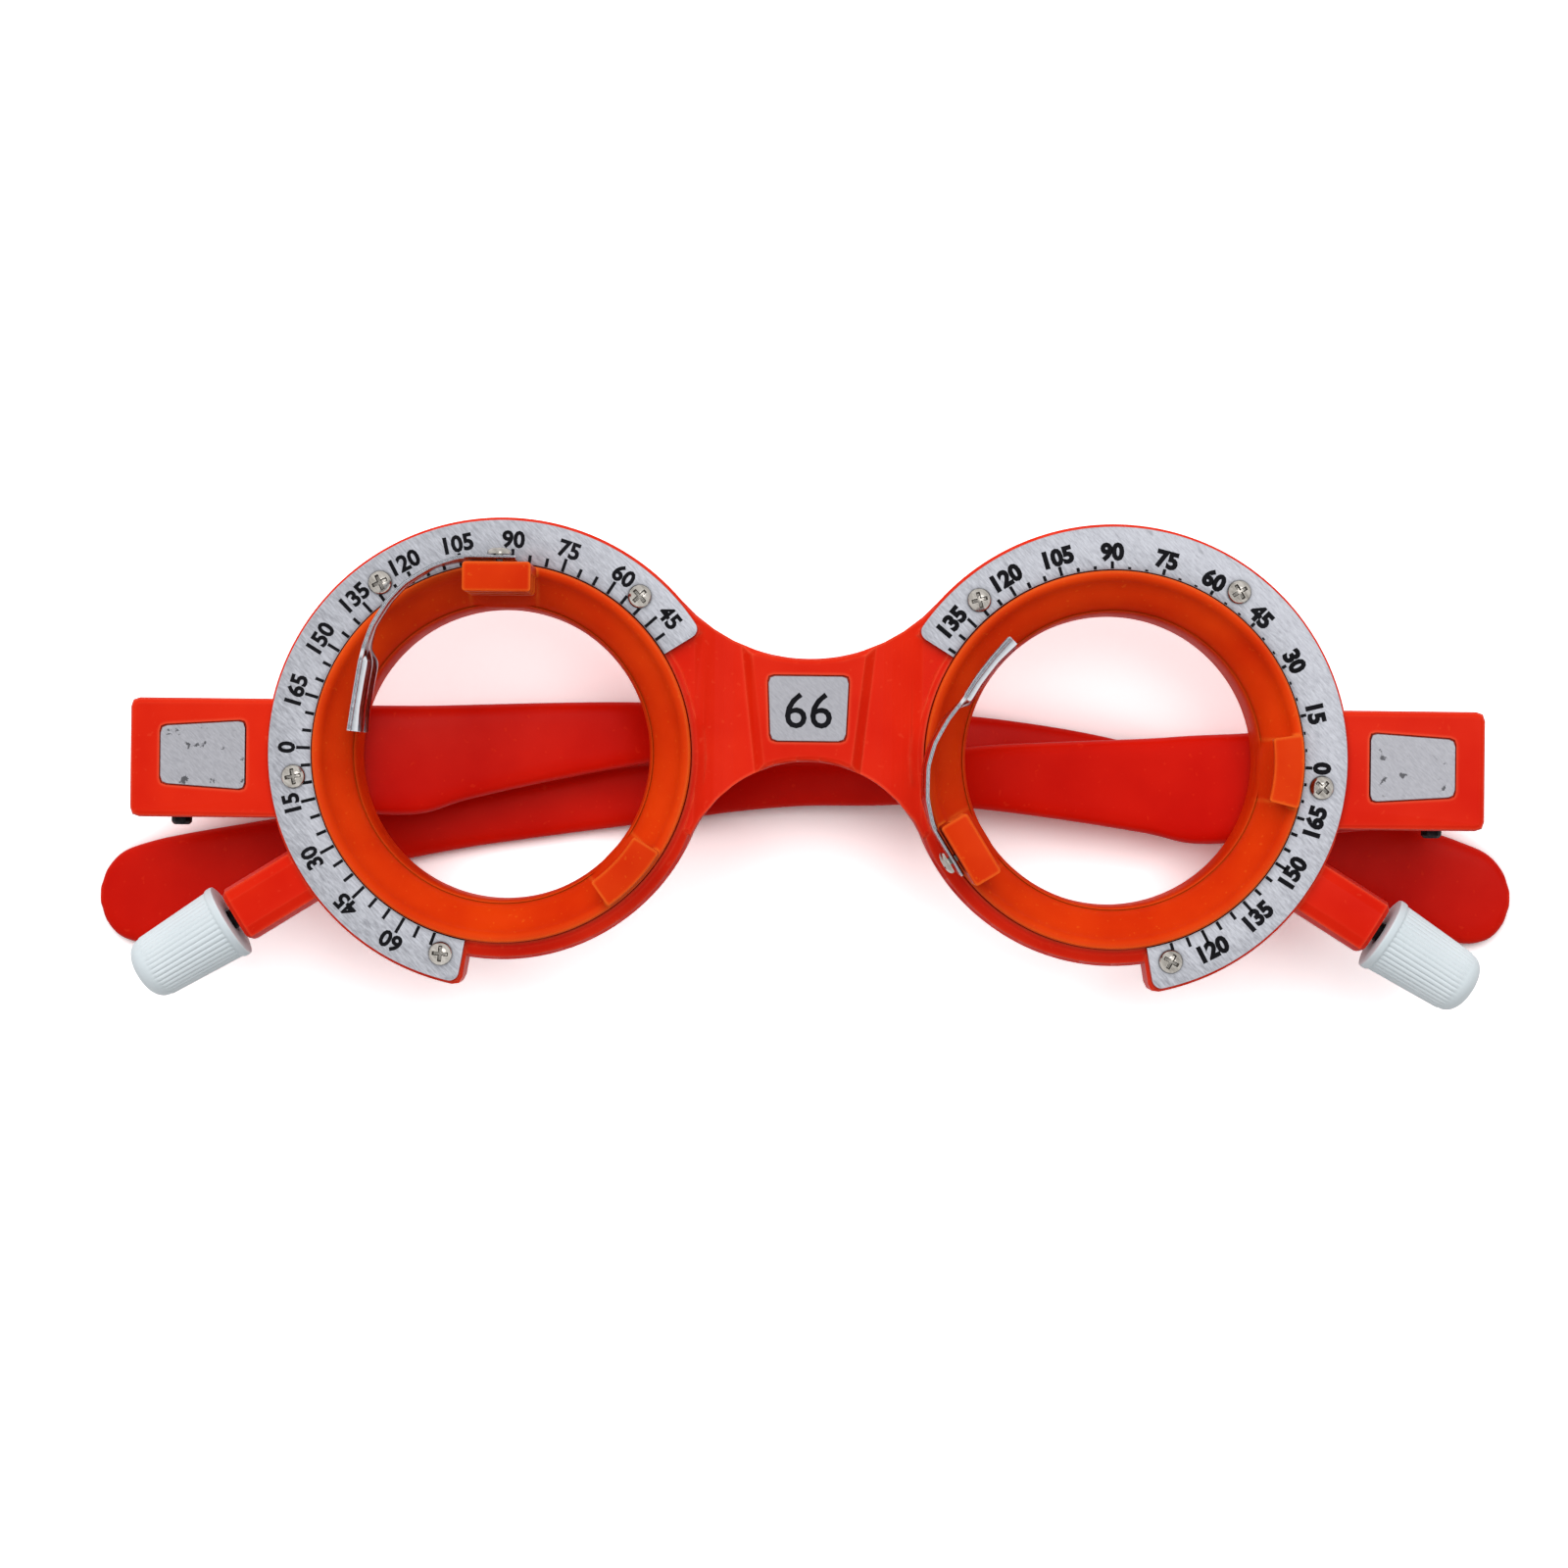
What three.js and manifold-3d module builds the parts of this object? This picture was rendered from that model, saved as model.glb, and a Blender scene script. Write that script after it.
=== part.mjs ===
// Optical trial frame with one fixed pupil distance, in millimetres.
// It lies on its folded temples as on a table: +Z is up, out of the front face, +X runs along the
// front and +Y points to the brow. The origin is on the table, under the middle of the whole frame.
// Each eye has a turning lens ring with face teeth, driven by a pinion on a knob shaft.
// The left half is modelled around its eye centre, with z zero at the dial's face, and then mirrored.

import * as THREE from 'three';
import { mergeVertices } from 'three/addons/utils/BufferGeometryUtils.js';
import Module from 'manifold-3d';

const wasm = await Module();
wasm.setup();

// The whole front
const pupilDistance = 66;
const tableDepth = 22; // from the dial's face down to the table
const housingThickness = 6;
const slipGap = 0.3; // between pieces that move on each other
const fitGap = 0.15; // around screws, pins and shafts
const overrun = 1; // how far a cut passes its piece

// Trial lens and the ring that holds it
const lensRadius = 19;
const lensPlay = 0.25;
const sleeveWall = 1.9;
const openingStraight = 3.4; // length of the opening's straight rear part
const rimWidth = 0.95;
const rimRise = 0.7; // above the dial's face
const seatDrop = 0.4; // lens seat below the dial's face
const seatWidth = 1.05;
const channelDepth = 0.6; // below the lens seat, before the ring's hollow inner side begins
const sleeveInset = 1.55; // from the lens pocket's wall to the sleeve's outside
const sleeveLip = 0.5;
const slotPitch = 3.2; // from one lens to the next
const slotWidth = 2.1;
const tallPostSlots = 3;
const lowPostTop = 2.6;
const lowPostSpanDeg = 23;
const postWidth = 7.2;
const postReach = 2.35; // inwards from the lens pocket's wall
const postSetback = 0.1; // behind the rim's edge
const postCorner = 0.4;
const leftTallPostDeg = 90;
const leftLowPostDeg = 317.3;
const rightTallPostDeg = -31.5; // as seen in the mirrored half
const rightLowPostDeg = 183;

// Gear drive
const ringToothCount = 88;
const pinionToothCount = 8;
const toothInset = 0.3; // from the rim's edge
const toothLength = 1.5;
const toothMeanInset = 0.6; // from the teeth's outer ends to their pitch circle
const toothAddendum = 0.4;
const toothDedendum = 0.52;
const ringToothShare = 0.36; // of the pitch, the rest is space and backlash
const pinionToothShare = 0.34;
const toothFlankDeg = 20;
const pinionInset = 0.2; // from the teeth's inner ends
const pinionLength = 1.5;
const pinionBoreRadius = 0.7;
const driveDepth = 4; // knob axis below the dial's face
const driveAngleDeg = 212; // direction of the knob from the eye centre
const pitWidth = 5.4;

// Retaining ring behind the housing
const retainerThickness = 0.8;
const retainerReach = 1.7; // beyond the sleeve
const retainerGapDeg = 24;
const grooveDepth = 0.7;

// Eye housing
const pocketWall = 1.8;
const shelfOverhang = 3.2;
const wallOverlap = 0.4; // how far joined bodies reach into the ring wall
const edgeRound = 0.6;
const wallRound = 1.2;

// Dial plate
const dialSetback = 0.35; // behind the shelf's edge
const dialThickness = 1;
const dialStartDeg = 32;
const dialEndDeg = 259.5;
const shelfMarginDeg = 1;
const dialCorner = 1;
const dialScrewShift = 0.3; // from the middle of the dial's width towards the eye
const dialScrewDegs = [49.2, 126, 187, 253.7];

// Small screws
const screwHeadRadius = 1.3;
const screwHeadHeight = 0.75;
const screwShankRadius = 0.6;
const screwShankLength = 3;
const crossWidth = 0.28;
const crossDepth = 0.35;

// Bridge
const bridgeTopRise = 11; // how much more than half the space between the shelves its arc's radius is
const archRise = 2.9; // the same for the nose arch, between the housings
const bridgeThickness = 5.4;
const bridgeDip = 0.9; // how deep the hollows beside the middle pad are
const dipInner = 8;
const dipOuter = 12.3;
const padTopWidth = 14.6;
const padFootWidth = 11.4;
const padTopY = 12;
const padFootY = -2;
const padSlope = 1.1;

// Plates
const plateThickness = 0.7;
const plateRecess = 0.5;
const plateCorner = 0.7;
const markPlateTopWidth = 8.7;
const markPlateFootWidth = 8.1;
const markPlateHeight = 7;
const markPlateY = 5.2;
const endPlateLength = 9.1;
const endPlateOuterHeight = 6.2;
const endPlateInnerHeight = 7.4;
const endPlateInset = 7.9; // of its middle, from the front's end
const endPlateY = -0.5;

// Endpieces and hinges
const endpieceReach = 14.7; // from the shelf's edge to the front's end
const endpieceHeight = 12.9;
const endpieceY = -0.8;
const endpieceThickness = 4.6;
const endpieceCorner = 1;
const hingeInset = 4.4; // from the front's end
const hingeDepth = 8.8; // hinge axis below the dial's face
const earRadius = 2.8;
const outerWall = 1.1;
const knuckleRadius = 2.6;
const knuckleHeight = 5.8;
const pinRadius = 0.8;
const pinHeadRadius = 1.15;
const pinHeadHeight = 0.9;
const pinHeadRound = 0.3;
const pinCover = 0.8; // plastic left over the pin's blind end

// Knob, boss and shaft
const bossLength = 11.7; // from the housing's wall
const bossWidth = 6.3;
const bossThickness = 5.4;
const bossRound = 1.5;
const bossEdge = 0.5;
const knobGap = 0.7;
const knobLength = 11.8;
const knobBaseRadius = 4;
const knobTipRadius = 3.55;
const knobFlange = 0.9;
const knobFlangeRise = 0.2;
const knobRibDepth = 0.16;
const knobDome = 2;
const knobRibCount = 20;
const shaftRadius = 1.1;
const spigotRadius = 0.55;
const shaftGrip = 8; // length inside the knob

// Leaf spring clip
const clipThickness = 0.4;
const clipLow = 1.8; // lower edge above the dial's face
const clipHigh = 8.2;
const clipTail = 1.9; // length past the clip screw
const clipStraight = 3.8;
const clipReachDeg = 80;
const clipLean = 0.5;
const padLow = 1.1;
const padHigh = 9.1;
const padRidge = 0.35;
const clipScrewShank = 0.4;
const clipScrewBite = 2.6; // length inside the post
const clipScrewHeadHeight = 0.7;

// Temples
const templeLength = 148.5;
const templeHeight = 12;
const templeRootThickness = 3.8;
const templeThickness = 2.6;
const templeShoulder = 3.4;
const templeRound = 1;
const bendStart = 80;
const bendEnd = 96;
const crossingFlex = 3.3; // each temple is pushed aside by the other where they cross

// How finely round things are divided, and how tightly curves follow their points
const ringSides = 40;
const smallSides = 12;
const tinySides = 8;
const filletSteps = 2;
const arcSteps = 4;
const shortArcSteps = 13;
const longArcSteps = 27;
const templeSteps = 28;
const clipSteps = 15;
const mergeTolerance = 0.01;
const clipTension = 0.25;
const templeTension = 0.5;

// Shares along the clip: of its reach in angle, and of its screw distance
const clipShares = [
  [0.19, 1.018], [0.25, 1.016], [0.36, 0.994], [0.45, 0.962], [0.55, 0.915], [0.62, 0.868],
  [0.665, 0.828], [0.75, 0.806], [0.88, 0.785], [1, 0.777],
];
const clipLeanShares = [0, 0, -0.15, -0.3, -0.3, -0.3, -0.3, 0, 0.6, 0.6, 0.6, 0.7];
const clipPadShares = [0, 0, 0, 0, 0, 0, 0, 0.15, 1, 1, 1, 1.3];

// Shares along the temple: place, middle line, height, and how far it is pushed aside
const templeShares = [
  [0.000, -0.075, 1.000, 0.03], [0.059, -0.113, 1.000, 0.17], [0.114, -0.150, 1.008, 0.30],
  [0.156, -0.158, 1.000, 0.36], [0.190, -0.108, 0.883, 0.44], [0.252, -0.037, 0.733, 0.56],
  [0.314, 0.017, 0.600, 0.67], [0.363, 0.029, 0.483, 0.79], [0.404, 0.017, 0.433, 0.89],
  [0.452, 0.004, 0.425, 0.88], [0.500, -0.025, 0.435, 0.92], [0.549, -0.075, 0.505, 0.88],
  [0.604, -0.150, 0.545, 0.88], [0.666, -0.258, 0.520, 0.96], [0.721, -0.383, 0.517, 0.92],
  [0.776, -0.542, 0.567, 0.77], [0.831, -0.733, 0.675, 0.59], [0.886, -0.958, 0.817, 0.44],
  [0.935, -1.158, 0.925, 0.30], [0.962, -1.267, 0.958, 0.24], [0.983, -1.300, 0.817, 0.21],
  [0.995, -1.308, 0.525, 0.20], [1.000, -1.308, 0.200, 0.20],
];
const thinningShares = [0.18, 0.36]; // where the temple goes from its root to its thin end
const cornerShares = [[-1, -1], [1, -1], [1, 1], [-1, 1]];

// Heights and radii that follow from the sizes above; zero is the dial's face
const lensPocketRadius = lensRadius + lensPlay;
const rimRadius = lensPocketRadius + rimWidth;
const sleeveRadius = lensPocketRadius - sleeveInset;
const openingRadius = sleeveRadius - sleeveWall;
const grooveRadius = sleeveRadius - grooveDepth;
const retainerOuterRadius = sleeveRadius + retainerReach;
const boreRadius = sleeveRadius + slipGap;
const pocketRadius = rimRadius + slipGap;
const housingRadius = pocketRadius + pocketWall;
const shelfRadius = housingRadius + shelfOverhang;
const dialOuterRadius = shelfRadius - dialSetback;
const dialScrewRadius = (pocketRadius + dialOuterRadius) / 2 - dialScrewShift;
const postInnerDistance = lensPocketRadius - postReach;
const postOuterDistance = rimRadius - postSetback;
const toothOuterRadius = rimRadius - toothInset;
const toothInnerRadius = toothOuterRadius - toothLength;
const toothMeanRadius = toothOuterRadius - toothMeanInset;
const pinionStart = toothInnerRadius + pinionInset;
const bossEnd = housingRadius + bossLength;
const seatZ = -dialThickness;
const rearZ = seatZ - housingThickness;
const pitchRadius = toothMeanRadius * pinionToothCount / ringToothCount;
const pinionTipRadius = pitchRadius + toothAddendum;
const pitchZ = pitchRadius - driveDepth;
const toothRootZ = pitchZ + toothDedendum;
const toothTipZ = pitchZ - toothAddendum;
const floorZ = toothTipZ - slipGap;
const retainerTopZ = rearZ - slipGap;
const retainerLowZ = retainerTopZ - retainerThickness;
const grooveLowZ = retainerLowZ - slipGap;
const sleeveRearZ = grooveLowZ - sleeveLip;
const tallPostTop = tallPostSlots * slotPitch - seatDrop;
const pitOuterRadius = pocketRadius + slipGap;
const shaftStart = pinionStart + pinionLength + slipGap;
const shaftBoreRadius = shaftRadius + slipGap;
const knobStart = bossEnd + knobGap;
const bodyRadius = pocketRadius + wallOverlap;
const clipDistance = postOuterDistance + slipGap + clipThickness / 2;
const clipScrewZ = 2 * slotPitch - seatDrop - (slotPitch - slotWidth) / 2;
const clipScrewSeat = clipDistance + clipThickness / 2 + slipGap;
const endpieceLow = endpieceY - endpieceHeight / 2;
const endpieceHigh = endpieceY + endpieceHeight / 2;
const eyeX = -pupilDistance / 2;
const frontWidth = pupilDistance + 2 * (shelfRadius + endpieceReach);
const hingeX = frontWidth / 2 - hingeInset;
const endPlateX = frontWidth / 2 - endPlateInset;
const bridgeTopRadius = -eyeX - shelfRadius + bridgeTopRise;
const archRadius = -eyeX - housingRadius + archRise;
const outerX = -frontWidth / 2 - eyeX;
const pinX = -hingeX - eyeX;
const earDrop = tableDepth - hingeDepth - templeThickness / 2;
const templeSlope = 2 * earDrop / (bendStart + bendEnd);
const driveAngle = THREE.MathUtils.degToRad(driveAngleDeg);
const leftPosts = [leftTallPostDeg, leftLowPostDeg].map(THREE.MathUtils.degToRad);
const rightPosts = [rightTallPostDeg, rightLowPostDeg].map(THREE.MathUtils.degToRad);
const turnUp = Math.PI / 2;

// Materials
const redPlastic = new THREE.MeshStandardMaterial({ color: 0xd92a0c, roughness: 0.45, metalness: 0 });
const orangePlastic = new THREE.MeshStandardMaterial({ color: 0xe8450a, roughness: 0.5, metalness: 0 });
const brushedSheet = new THREE.MeshStandardMaterial({ color: 0xc4c6cb, roughness: 0.38, metalness: 0.9 });
const nickel = new THREE.MeshStandardMaterial({ color: 0xcfcac0, roughness: 0.22, metalness: 1 });
const springSteel = new THREE.MeshStandardMaterial({ color: 0xc8cbd0, roughness: 0.18, metalness: 1 });
const whitePlastic = new THREE.MeshStandardMaterial({ color: 0xe3eaee, roughness: 0.45, metalness: 0 });
const blackSteel = new THREE.MeshStandardMaterial({ color: 0x1b1a1c, roughness: 0.35, metalness: 0.7 });
const brass = new THREE.MeshStandardMaterial({ color: 0xb9964a, roughness: 0.35, metalness: 1 });

// A closed geometry as a solid that can be joined and cut
function solid(geometry) {
  const bare = geometry.clone();
  bare.deleteAttribute('normal');
  bare.deleteAttribute('uv');
  const merged = mergeVertices(bare);
  const corners = merged.index.array;
  const kept = [];
  for (let i = 0; i < corners.length; i += 3) {
    const [a, b, c] = [corners[i], corners[i + 1], corners[i + 2]];
    if (a !== b && b !== c && c !== a) kept.push(a, b, c);
  }
  const vertProperties = new Float32Array(merged.attributes.position.array);
  return new wasm.Manifold(new wasm.Mesh({ numProp: 3, vertProperties, triVerts: new Uint32Array(kept) }));
}

// A solid back as a geometry
function shell(body) {
  const mesh = body.asOriginal().simplify(mergeTolerance).getMesh();
  const geometry = new THREE.BufferGeometry();
  geometry.setAttribute('position', new THREE.BufferAttribute(new Float32Array(mesh.vertProperties), 3));
  geometry.setIndex(new THREE.BufferAttribute(new Uint32Array(mesh.triVerts), 1));
  geometry.computeVertexNormals();
  return geometry;
}

function join(...geometries) {
  return geometries.map(solid).reduce((body, other) => body.add(other));
}

function cut(body, ...geometries) {
  return geometries.map(solid).reduce((rest, other) => rest.subtract(other), body);
}

function polar(radius, angle, x = 0, y = 0) {
  return new THREE.Vector2(x + radius * Math.cos(angle), y + radius * Math.sin(angle));
}

// Points along an arc, both ends included
function arc(radius, from, to, steps, x = 0, y = 0) {
  return Array.from({ length: steps + 1 }, (_, i) => polar(radius, from + (to - from) * i / steps, x, y));
}

// An outline with rounded corners; each corner is [x, y, radius]
function rounded(corners, steps = filletSteps) {
  return corners.flatMap(([x, y, radius], i) => {
    const here = new THREE.Vector2(x, y);
    if (!radius) return [here];
    const [toward, away] = [corners.at(i - 1), corners[(i + 1) % corners.length]].map((other) => {
      const leg = new THREE.Vector2(other[0], other[1]).sub(here);
      return leg.setLength(Math.min(radius, leg.length() / 2)).add(here);
    });
    return new THREE.QuadraticBezierCurve(toward, here, away).getPoints(steps);
  });
}

// A four-cornered outline around a middle point; its two ends can have unlike heights
function quad(x, y, length, firstHeight, lastHeight, corner, steps = filletSteps) {
  return rounded(cornerShares.map(([across, up]) => {
    const height = across < 0 ? firstHeight : lastHeight;
    return [x + across * length / 2, y + up * height / 2, corner];
  }), steps);
}

// A flat plate from an outline, with its edges rounded off
function plate(points, low, high, round = 0, steps = filletSteps, inset = round) {
  const geometry = new THREE.ExtrudeGeometry(new THREE.Shape(points), {
    depth: high - low - 2 * round,
    bevelEnabled: round > 0,
    bevelThickness: round,
    bevelSize: inset,
    bevelOffset: -inset,
    bevelSegments: steps,
    steps: 1,
  });
  return geometry.translate(0, 0, low + round);
}

// A closed profile of [radius, z] points turned about Z
function turned(profile, sides = ringSides) {
  const points = [...profile, profile[0]].map(([radius, z]) => new THREE.Vector2(radius, z));
  return new THREE.LatheGeometry(points, sides).rotateX(turnUp);
}

// A round bar along Z
function bar(radius, low, high, sides = smallSides) {
  return turned([[0, low], [radius, low], [radius, high], [0, high]], sides);
}

// A box from its two far corners
function block(from, to) {
  const size = to.map((value, i) => value - from[i]);
  const middle = to.map((value, i) => (value + from[i]) / 2);
  return new THREE.BoxGeometry(...size).translate(...middle);
}

// Lays a geometry built along Z down, so that it points out from the eye centre
function alongRadius(geometry, angle, z) {
  return geometry.rotateY(turnUp).rotateZ(angle).translate(0, 0, z);
}

// Joins matching rings of points into one closed skin
function loft(rings) {
  const count = rings[0].length;
  const points = rings.flat();
  const index = [];
  [rings[0], rings.at(-1)].forEach((ring) => {
    const middle = ring.reduce((sum, point) => sum.add(point), new THREE.Vector3());
    points.push(middle.divideScalar(count));
  });
  const firstMiddle = rings.length * count;
  const lastRing = firstMiddle - count;
  for (let j = 0; j < count; j += 1) {
    const next = (j + 1) % count;
    for (let start = 0; start < lastRing; start += count) {
      index.push(start + j, start + next, start + count + next);
      index.push(start + j, start + count + next, start + count + j);
    }
    index.push(firstMiddle, next, j, firstMiddle + 1, lastRing + j, lastRing + next);
  }
  const geometry = new THREE.BufferGeometry().setFromPoints(points);
  geometry.setIndex(index);
  geometry.computeVertexNormals();
  return geometry;
}

// A sector of a ring around the eye centre, with rounded outer corners
function sector(inner, outer, from, to, corner, steps) {
  const turn = corner / outer;
  const first = [polar(outer - corner, from), polar(outer, from), polar(outer, from + turn)];
  const last = [polar(outer, to - turn), polar(outer, to), polar(outer - corner, to)];
  const [start, end] = [first, last].map((points) => {
    return new THREE.QuadraticBezierCurve(...points).getPoints(filletSteps);
  });
  const outerArc = arc(outer, from + turn, to - turn, steps).slice(1, -1);
  return [...start, ...outerArc, ...end, ...arc(inner, to, from, steps)];
}

// The wall of one eye housing, with a pocket for the lens ring open to the front
function eyeWall() {
  const rear = arc(edgeRound, -turnUp, 0, filletSteps, housingRadius - edgeRound, rearZ + edgeRound);
  const front = arc(wallRound, 0, turnUp, filletSteps, housingRadius - wallRound, seatZ - wallRound);
  const outside = [...rear, ...front].map((point) => point.toArray());
  return turned([
    [boreRadius, rearZ], ...outside,
    [pocketRadius, seatZ], [pocketRadius, floorZ], [boreRadius, floorZ],
  ]);
}

// The wider shelf under the dial
function dialShelf() {
  const ends = [dialStartDeg - shelfMarginDeg, dialEndDeg + shelfMarginDeg];
  const [from, to] = ends.map(THREE.MathUtils.degToRad);
  const outline = sector(bodyRadius, shelfRadius, from, to, dialCorner, longArcSteps);
  return plate(outline, rearZ, seatZ, edgeRound / 2, 1);
}

// The arm of the endpiece beside the eye
function endpieceArm() {
  const from = Math.PI - Math.asin(endpieceHigh / bodyRadius);
  const to = Math.PI - Math.asin(endpieceLow / bodyRadius);
  const root = arc(bodyRadius, from, to, arcSteps).map((point) => [point.x, point.y, 0]);
  const ends = [[outerX, endpieceLow, endpieceCorner], [outerX, endpieceHigh, endpieceCorner]];
  return plate(rounded([...root, ...ends]), seatZ - endpieceThickness, seatZ, edgeRound);
}

// The block behind the endpiece, rounded around the hinge pin
function hingeBlock() {
  const frontZ = seatZ - endpieceThickness + edgeRound + wallOverlap;
  const rear = -hingeDepth - earRadius;
  const around = arc(earRadius, -turnUp, 0, arcSteps, pinX, -hingeDepth);
  const outline = [
    ...rounded([[outerX, frontZ, 0], [outerX, rear, earRadius], [pinX, rear, 0]]),
    ...around.slice(1),
    new THREE.Vector2(pinX + earRadius, frontZ),
  ];
  return plate(outline, -endpieceHigh, -endpieceLow, edgeRound / 2, 1).rotateX(turnUp);
}

function hingeSlot() {
  const [low, high] = [-1, 1].map((side) => endpieceY + side * (knuckleHeight / 2 + slipGap));
  const frontZ = knuckleRadius + slipGap - hingeDepth;
  return block(
    [outerX + outerWall, low, -hingeDepth - earRadius - overrun],
    [pinX + earRadius + overrun, high, frontZ],
  );
}

function knobBoss() {
  const outline = quad(0, 0, bossThickness, bossWidth, bossWidth, bossRound);
  return alongRadius(plate(outline, bodyRadius, bossEnd, bossEdge, 1), driveAngle, -driveDepth);
}

// The hollow in the housing that the pinion turns in
function pinionPit() {
  const low = -driveDepth - pinionTipRadius - slipGap;
  const [inner, outer] = [boreRadius - overrun, pitOuterRadius];
  const pit = block([inner, -pitWidth / 2, low], [outer, pitWidth / 2, floorZ + slipGap]);
  return pit.rotateZ(driveAngle);
}

function endPlateOutline(grow) {
  const sizes = [endPlateLength, endPlateOuterHeight, endPlateInnerHeight].map((size) => size + 2 * grow);
  return quad(-endPlateX - eyeX, endPlateY, ...sizes, plateCorner);
}

// A four-cornered outline that stands on its foot
function standing(y, height, footWidth, topWidth, corner) {
  const lying = quad(0, 0, height, footWidth, topWidth, corner);
  return lying.map((point) => new THREE.Vector2(-point.y, point.x + y));
}

function markPlateOutline(grow) {
  const [height, foot, top] = [markPlateHeight, markPlateFootWidth, markPlateTopWidth];
  return standing(markPlateY, height + 2 * grow, foot + 2 * grow, top + 2 * grow, plateCorner);
}

// The slab between the eyes: its edges touch the round housings, and a pad stands between two hollows
function bridge() {
  const topY = Math.sqrt((bridgeTopRadius + shelfRadius) ** 2 - eyeX ** 2);
  const archY = -Math.sqrt((archRadius + housingRadius) ** 2 - eyeX ** 2);
  const [topAngle, archAngle] = [topY, archY].map((y) => Math.atan2(y, -eyeX));
  const outline = [
    ...arc(bridgeTopRadius, -topAngle, topAngle - Math.PI, shortArcSteps, 0, topY),
    ...arc(bodyRadius, topAngle, archAngle, arcSteps, eyeX),
    ...arc(archRadius, Math.PI + archAngle, -archAngle, shortArcSteps, 0, archY),
    ...arc(bodyRadius, Math.PI - archAngle, Math.PI - topAngle, arcSteps, -eyeX),
  ];
  const slab = solid(plate(outline, seatZ - bridgeThickness, seatZ, edgeRound));
  const dipZ = seatZ - bridgeDip;
  const side = new THREE.QuadraticBezierCurve(
    new THREE.Vector2(dipInner, dipZ),
    new THREE.Vector2((dipInner + dipOuter) / 2, dipZ),
    new THREE.Vector2(dipOuter, seatZ),
  ).getPoints(arcSteps);
  const above = [dipOuter, -dipOuter].map((x) => new THREE.Vector2(x, seatZ + overrun));
  const other = side.map((point) => new THREE.Vector2(-point.x, point.y)).reverse();
  const hollow = plate([...side, ...above, ...other], -topY, topY).rotateX(turnUp);
  const padOutline = standing((padTopY + padFootY) / 2, padTopY - padFootY, padFootWidth, padTopWidth, 0);
  const pad = plate(padOutline, dipZ - bridgeDip, seatZ, bridgeDip, 1, padSlope);
  return cut(slab, hollow).add(slab.intersect(solid(pad)));
}

// Straight holes for the dial screws, down to a given height
function dialScrewHoles(low) {
  return dialScrewDegs.map((angle) => {
    const { x, y } = polar(dialScrewRadius, THREE.MathUtils.degToRad(angle));
    return bar(screwShankRadius + fitGap, low, overrun, tinySides).translate(x, y, 0);
  });
}

// The whole red moulding
function frontFrame() {
  const body = join(eyeWall(), dialShelf(), endpieceArm(), hingeBlock(), knobBoss());
  const shaftBore = bar(shaftBoreRadius, pitOuterRadius - overrun, bossEnd + overrun);
  const pinHole = bar(pinRadius + fitGap, endpieceLow - overrun, endpieceHigh - pinCover);
  const half = cut(
    body,
    hingeSlot(),
    pinionPit(),
    alongRadius(shaftBore, driveAngle, -driveDepth),
    pinHole.rotateX(-turnUp).translate(pinX, 0, -hingeDepth),
    plate(endPlateOutline(fitGap), seatZ - plateRecess, seatZ + overrun),
    ...dialScrewHoles(-screwShankLength - slipGap),
  ).translate([eyeX, 0, 0]);
  const markRecess = plate(markPlateOutline(fitGap), seatZ - plateRecess, seatZ + overrun);
  return cut(half.add(bridge()).add(half.mirror([1, 0, 0])), markRecess);
}

function dial() {
  const [from, to] = [dialStartDeg, dialEndDeg].map(THREE.MathUtils.degToRad);
  const outline = sector(pocketRadius, dialOuterRadius, from, to, dialCorner, longArcSteps);
  return cut(solid(plate(outline, seatZ, 0)), ...dialScrewHoles(seatZ - overrun));
}

// A small domed screw along Z with a cross recess; its head sits on zero
function screw(headRadius, headHeight, shankRadius, shankLength) {
  const shoulder = headHeight / 2;
  const profile = [
    [0, -shankLength], [shankRadius, -shankLength], [shankRadius, 0], [headRadius, 0],
    [headRadius - shoulder, headHeight], [0, headHeight],
  ];
  const [arm, thin, low] = [headRadius - shoulder, crossWidth / 2, headHeight - crossDepth];
  const high = headHeight + overrun;
  const cross = [[arm, thin], [thin, arm]].map(([x, y]) => block([-x, -y, low], [x, y, high]));
  return cut(solid(turned(profile, tinySides)), ...cross);
}

// One tooth of the lens ring's underside, pointing down at angle zero
function ringTooth() {
  const flank = Math.tan(THREE.MathUtils.degToRad(toothFlankDeg));
  const half = ringToothShare * Math.PI * toothMeanRadius / ringToothCount;
  const [root, tip] = [half + flank * (toothDedendum + wallOverlap), half - flank * toothAddendum];
  const rootZ = toothRootZ + wallOverlap;
  const corners = [[-root, rootZ], [-tip, toothTipZ], [tip, toothTipZ], [root, rootZ]];
  const outline = corners.map((point) => new THREE.Vector2(...point));
  return plate(outline, toothInnerRadius, toothOuterRadius).rotateX(turnUp).rotateZ(turnUp);
}

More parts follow.
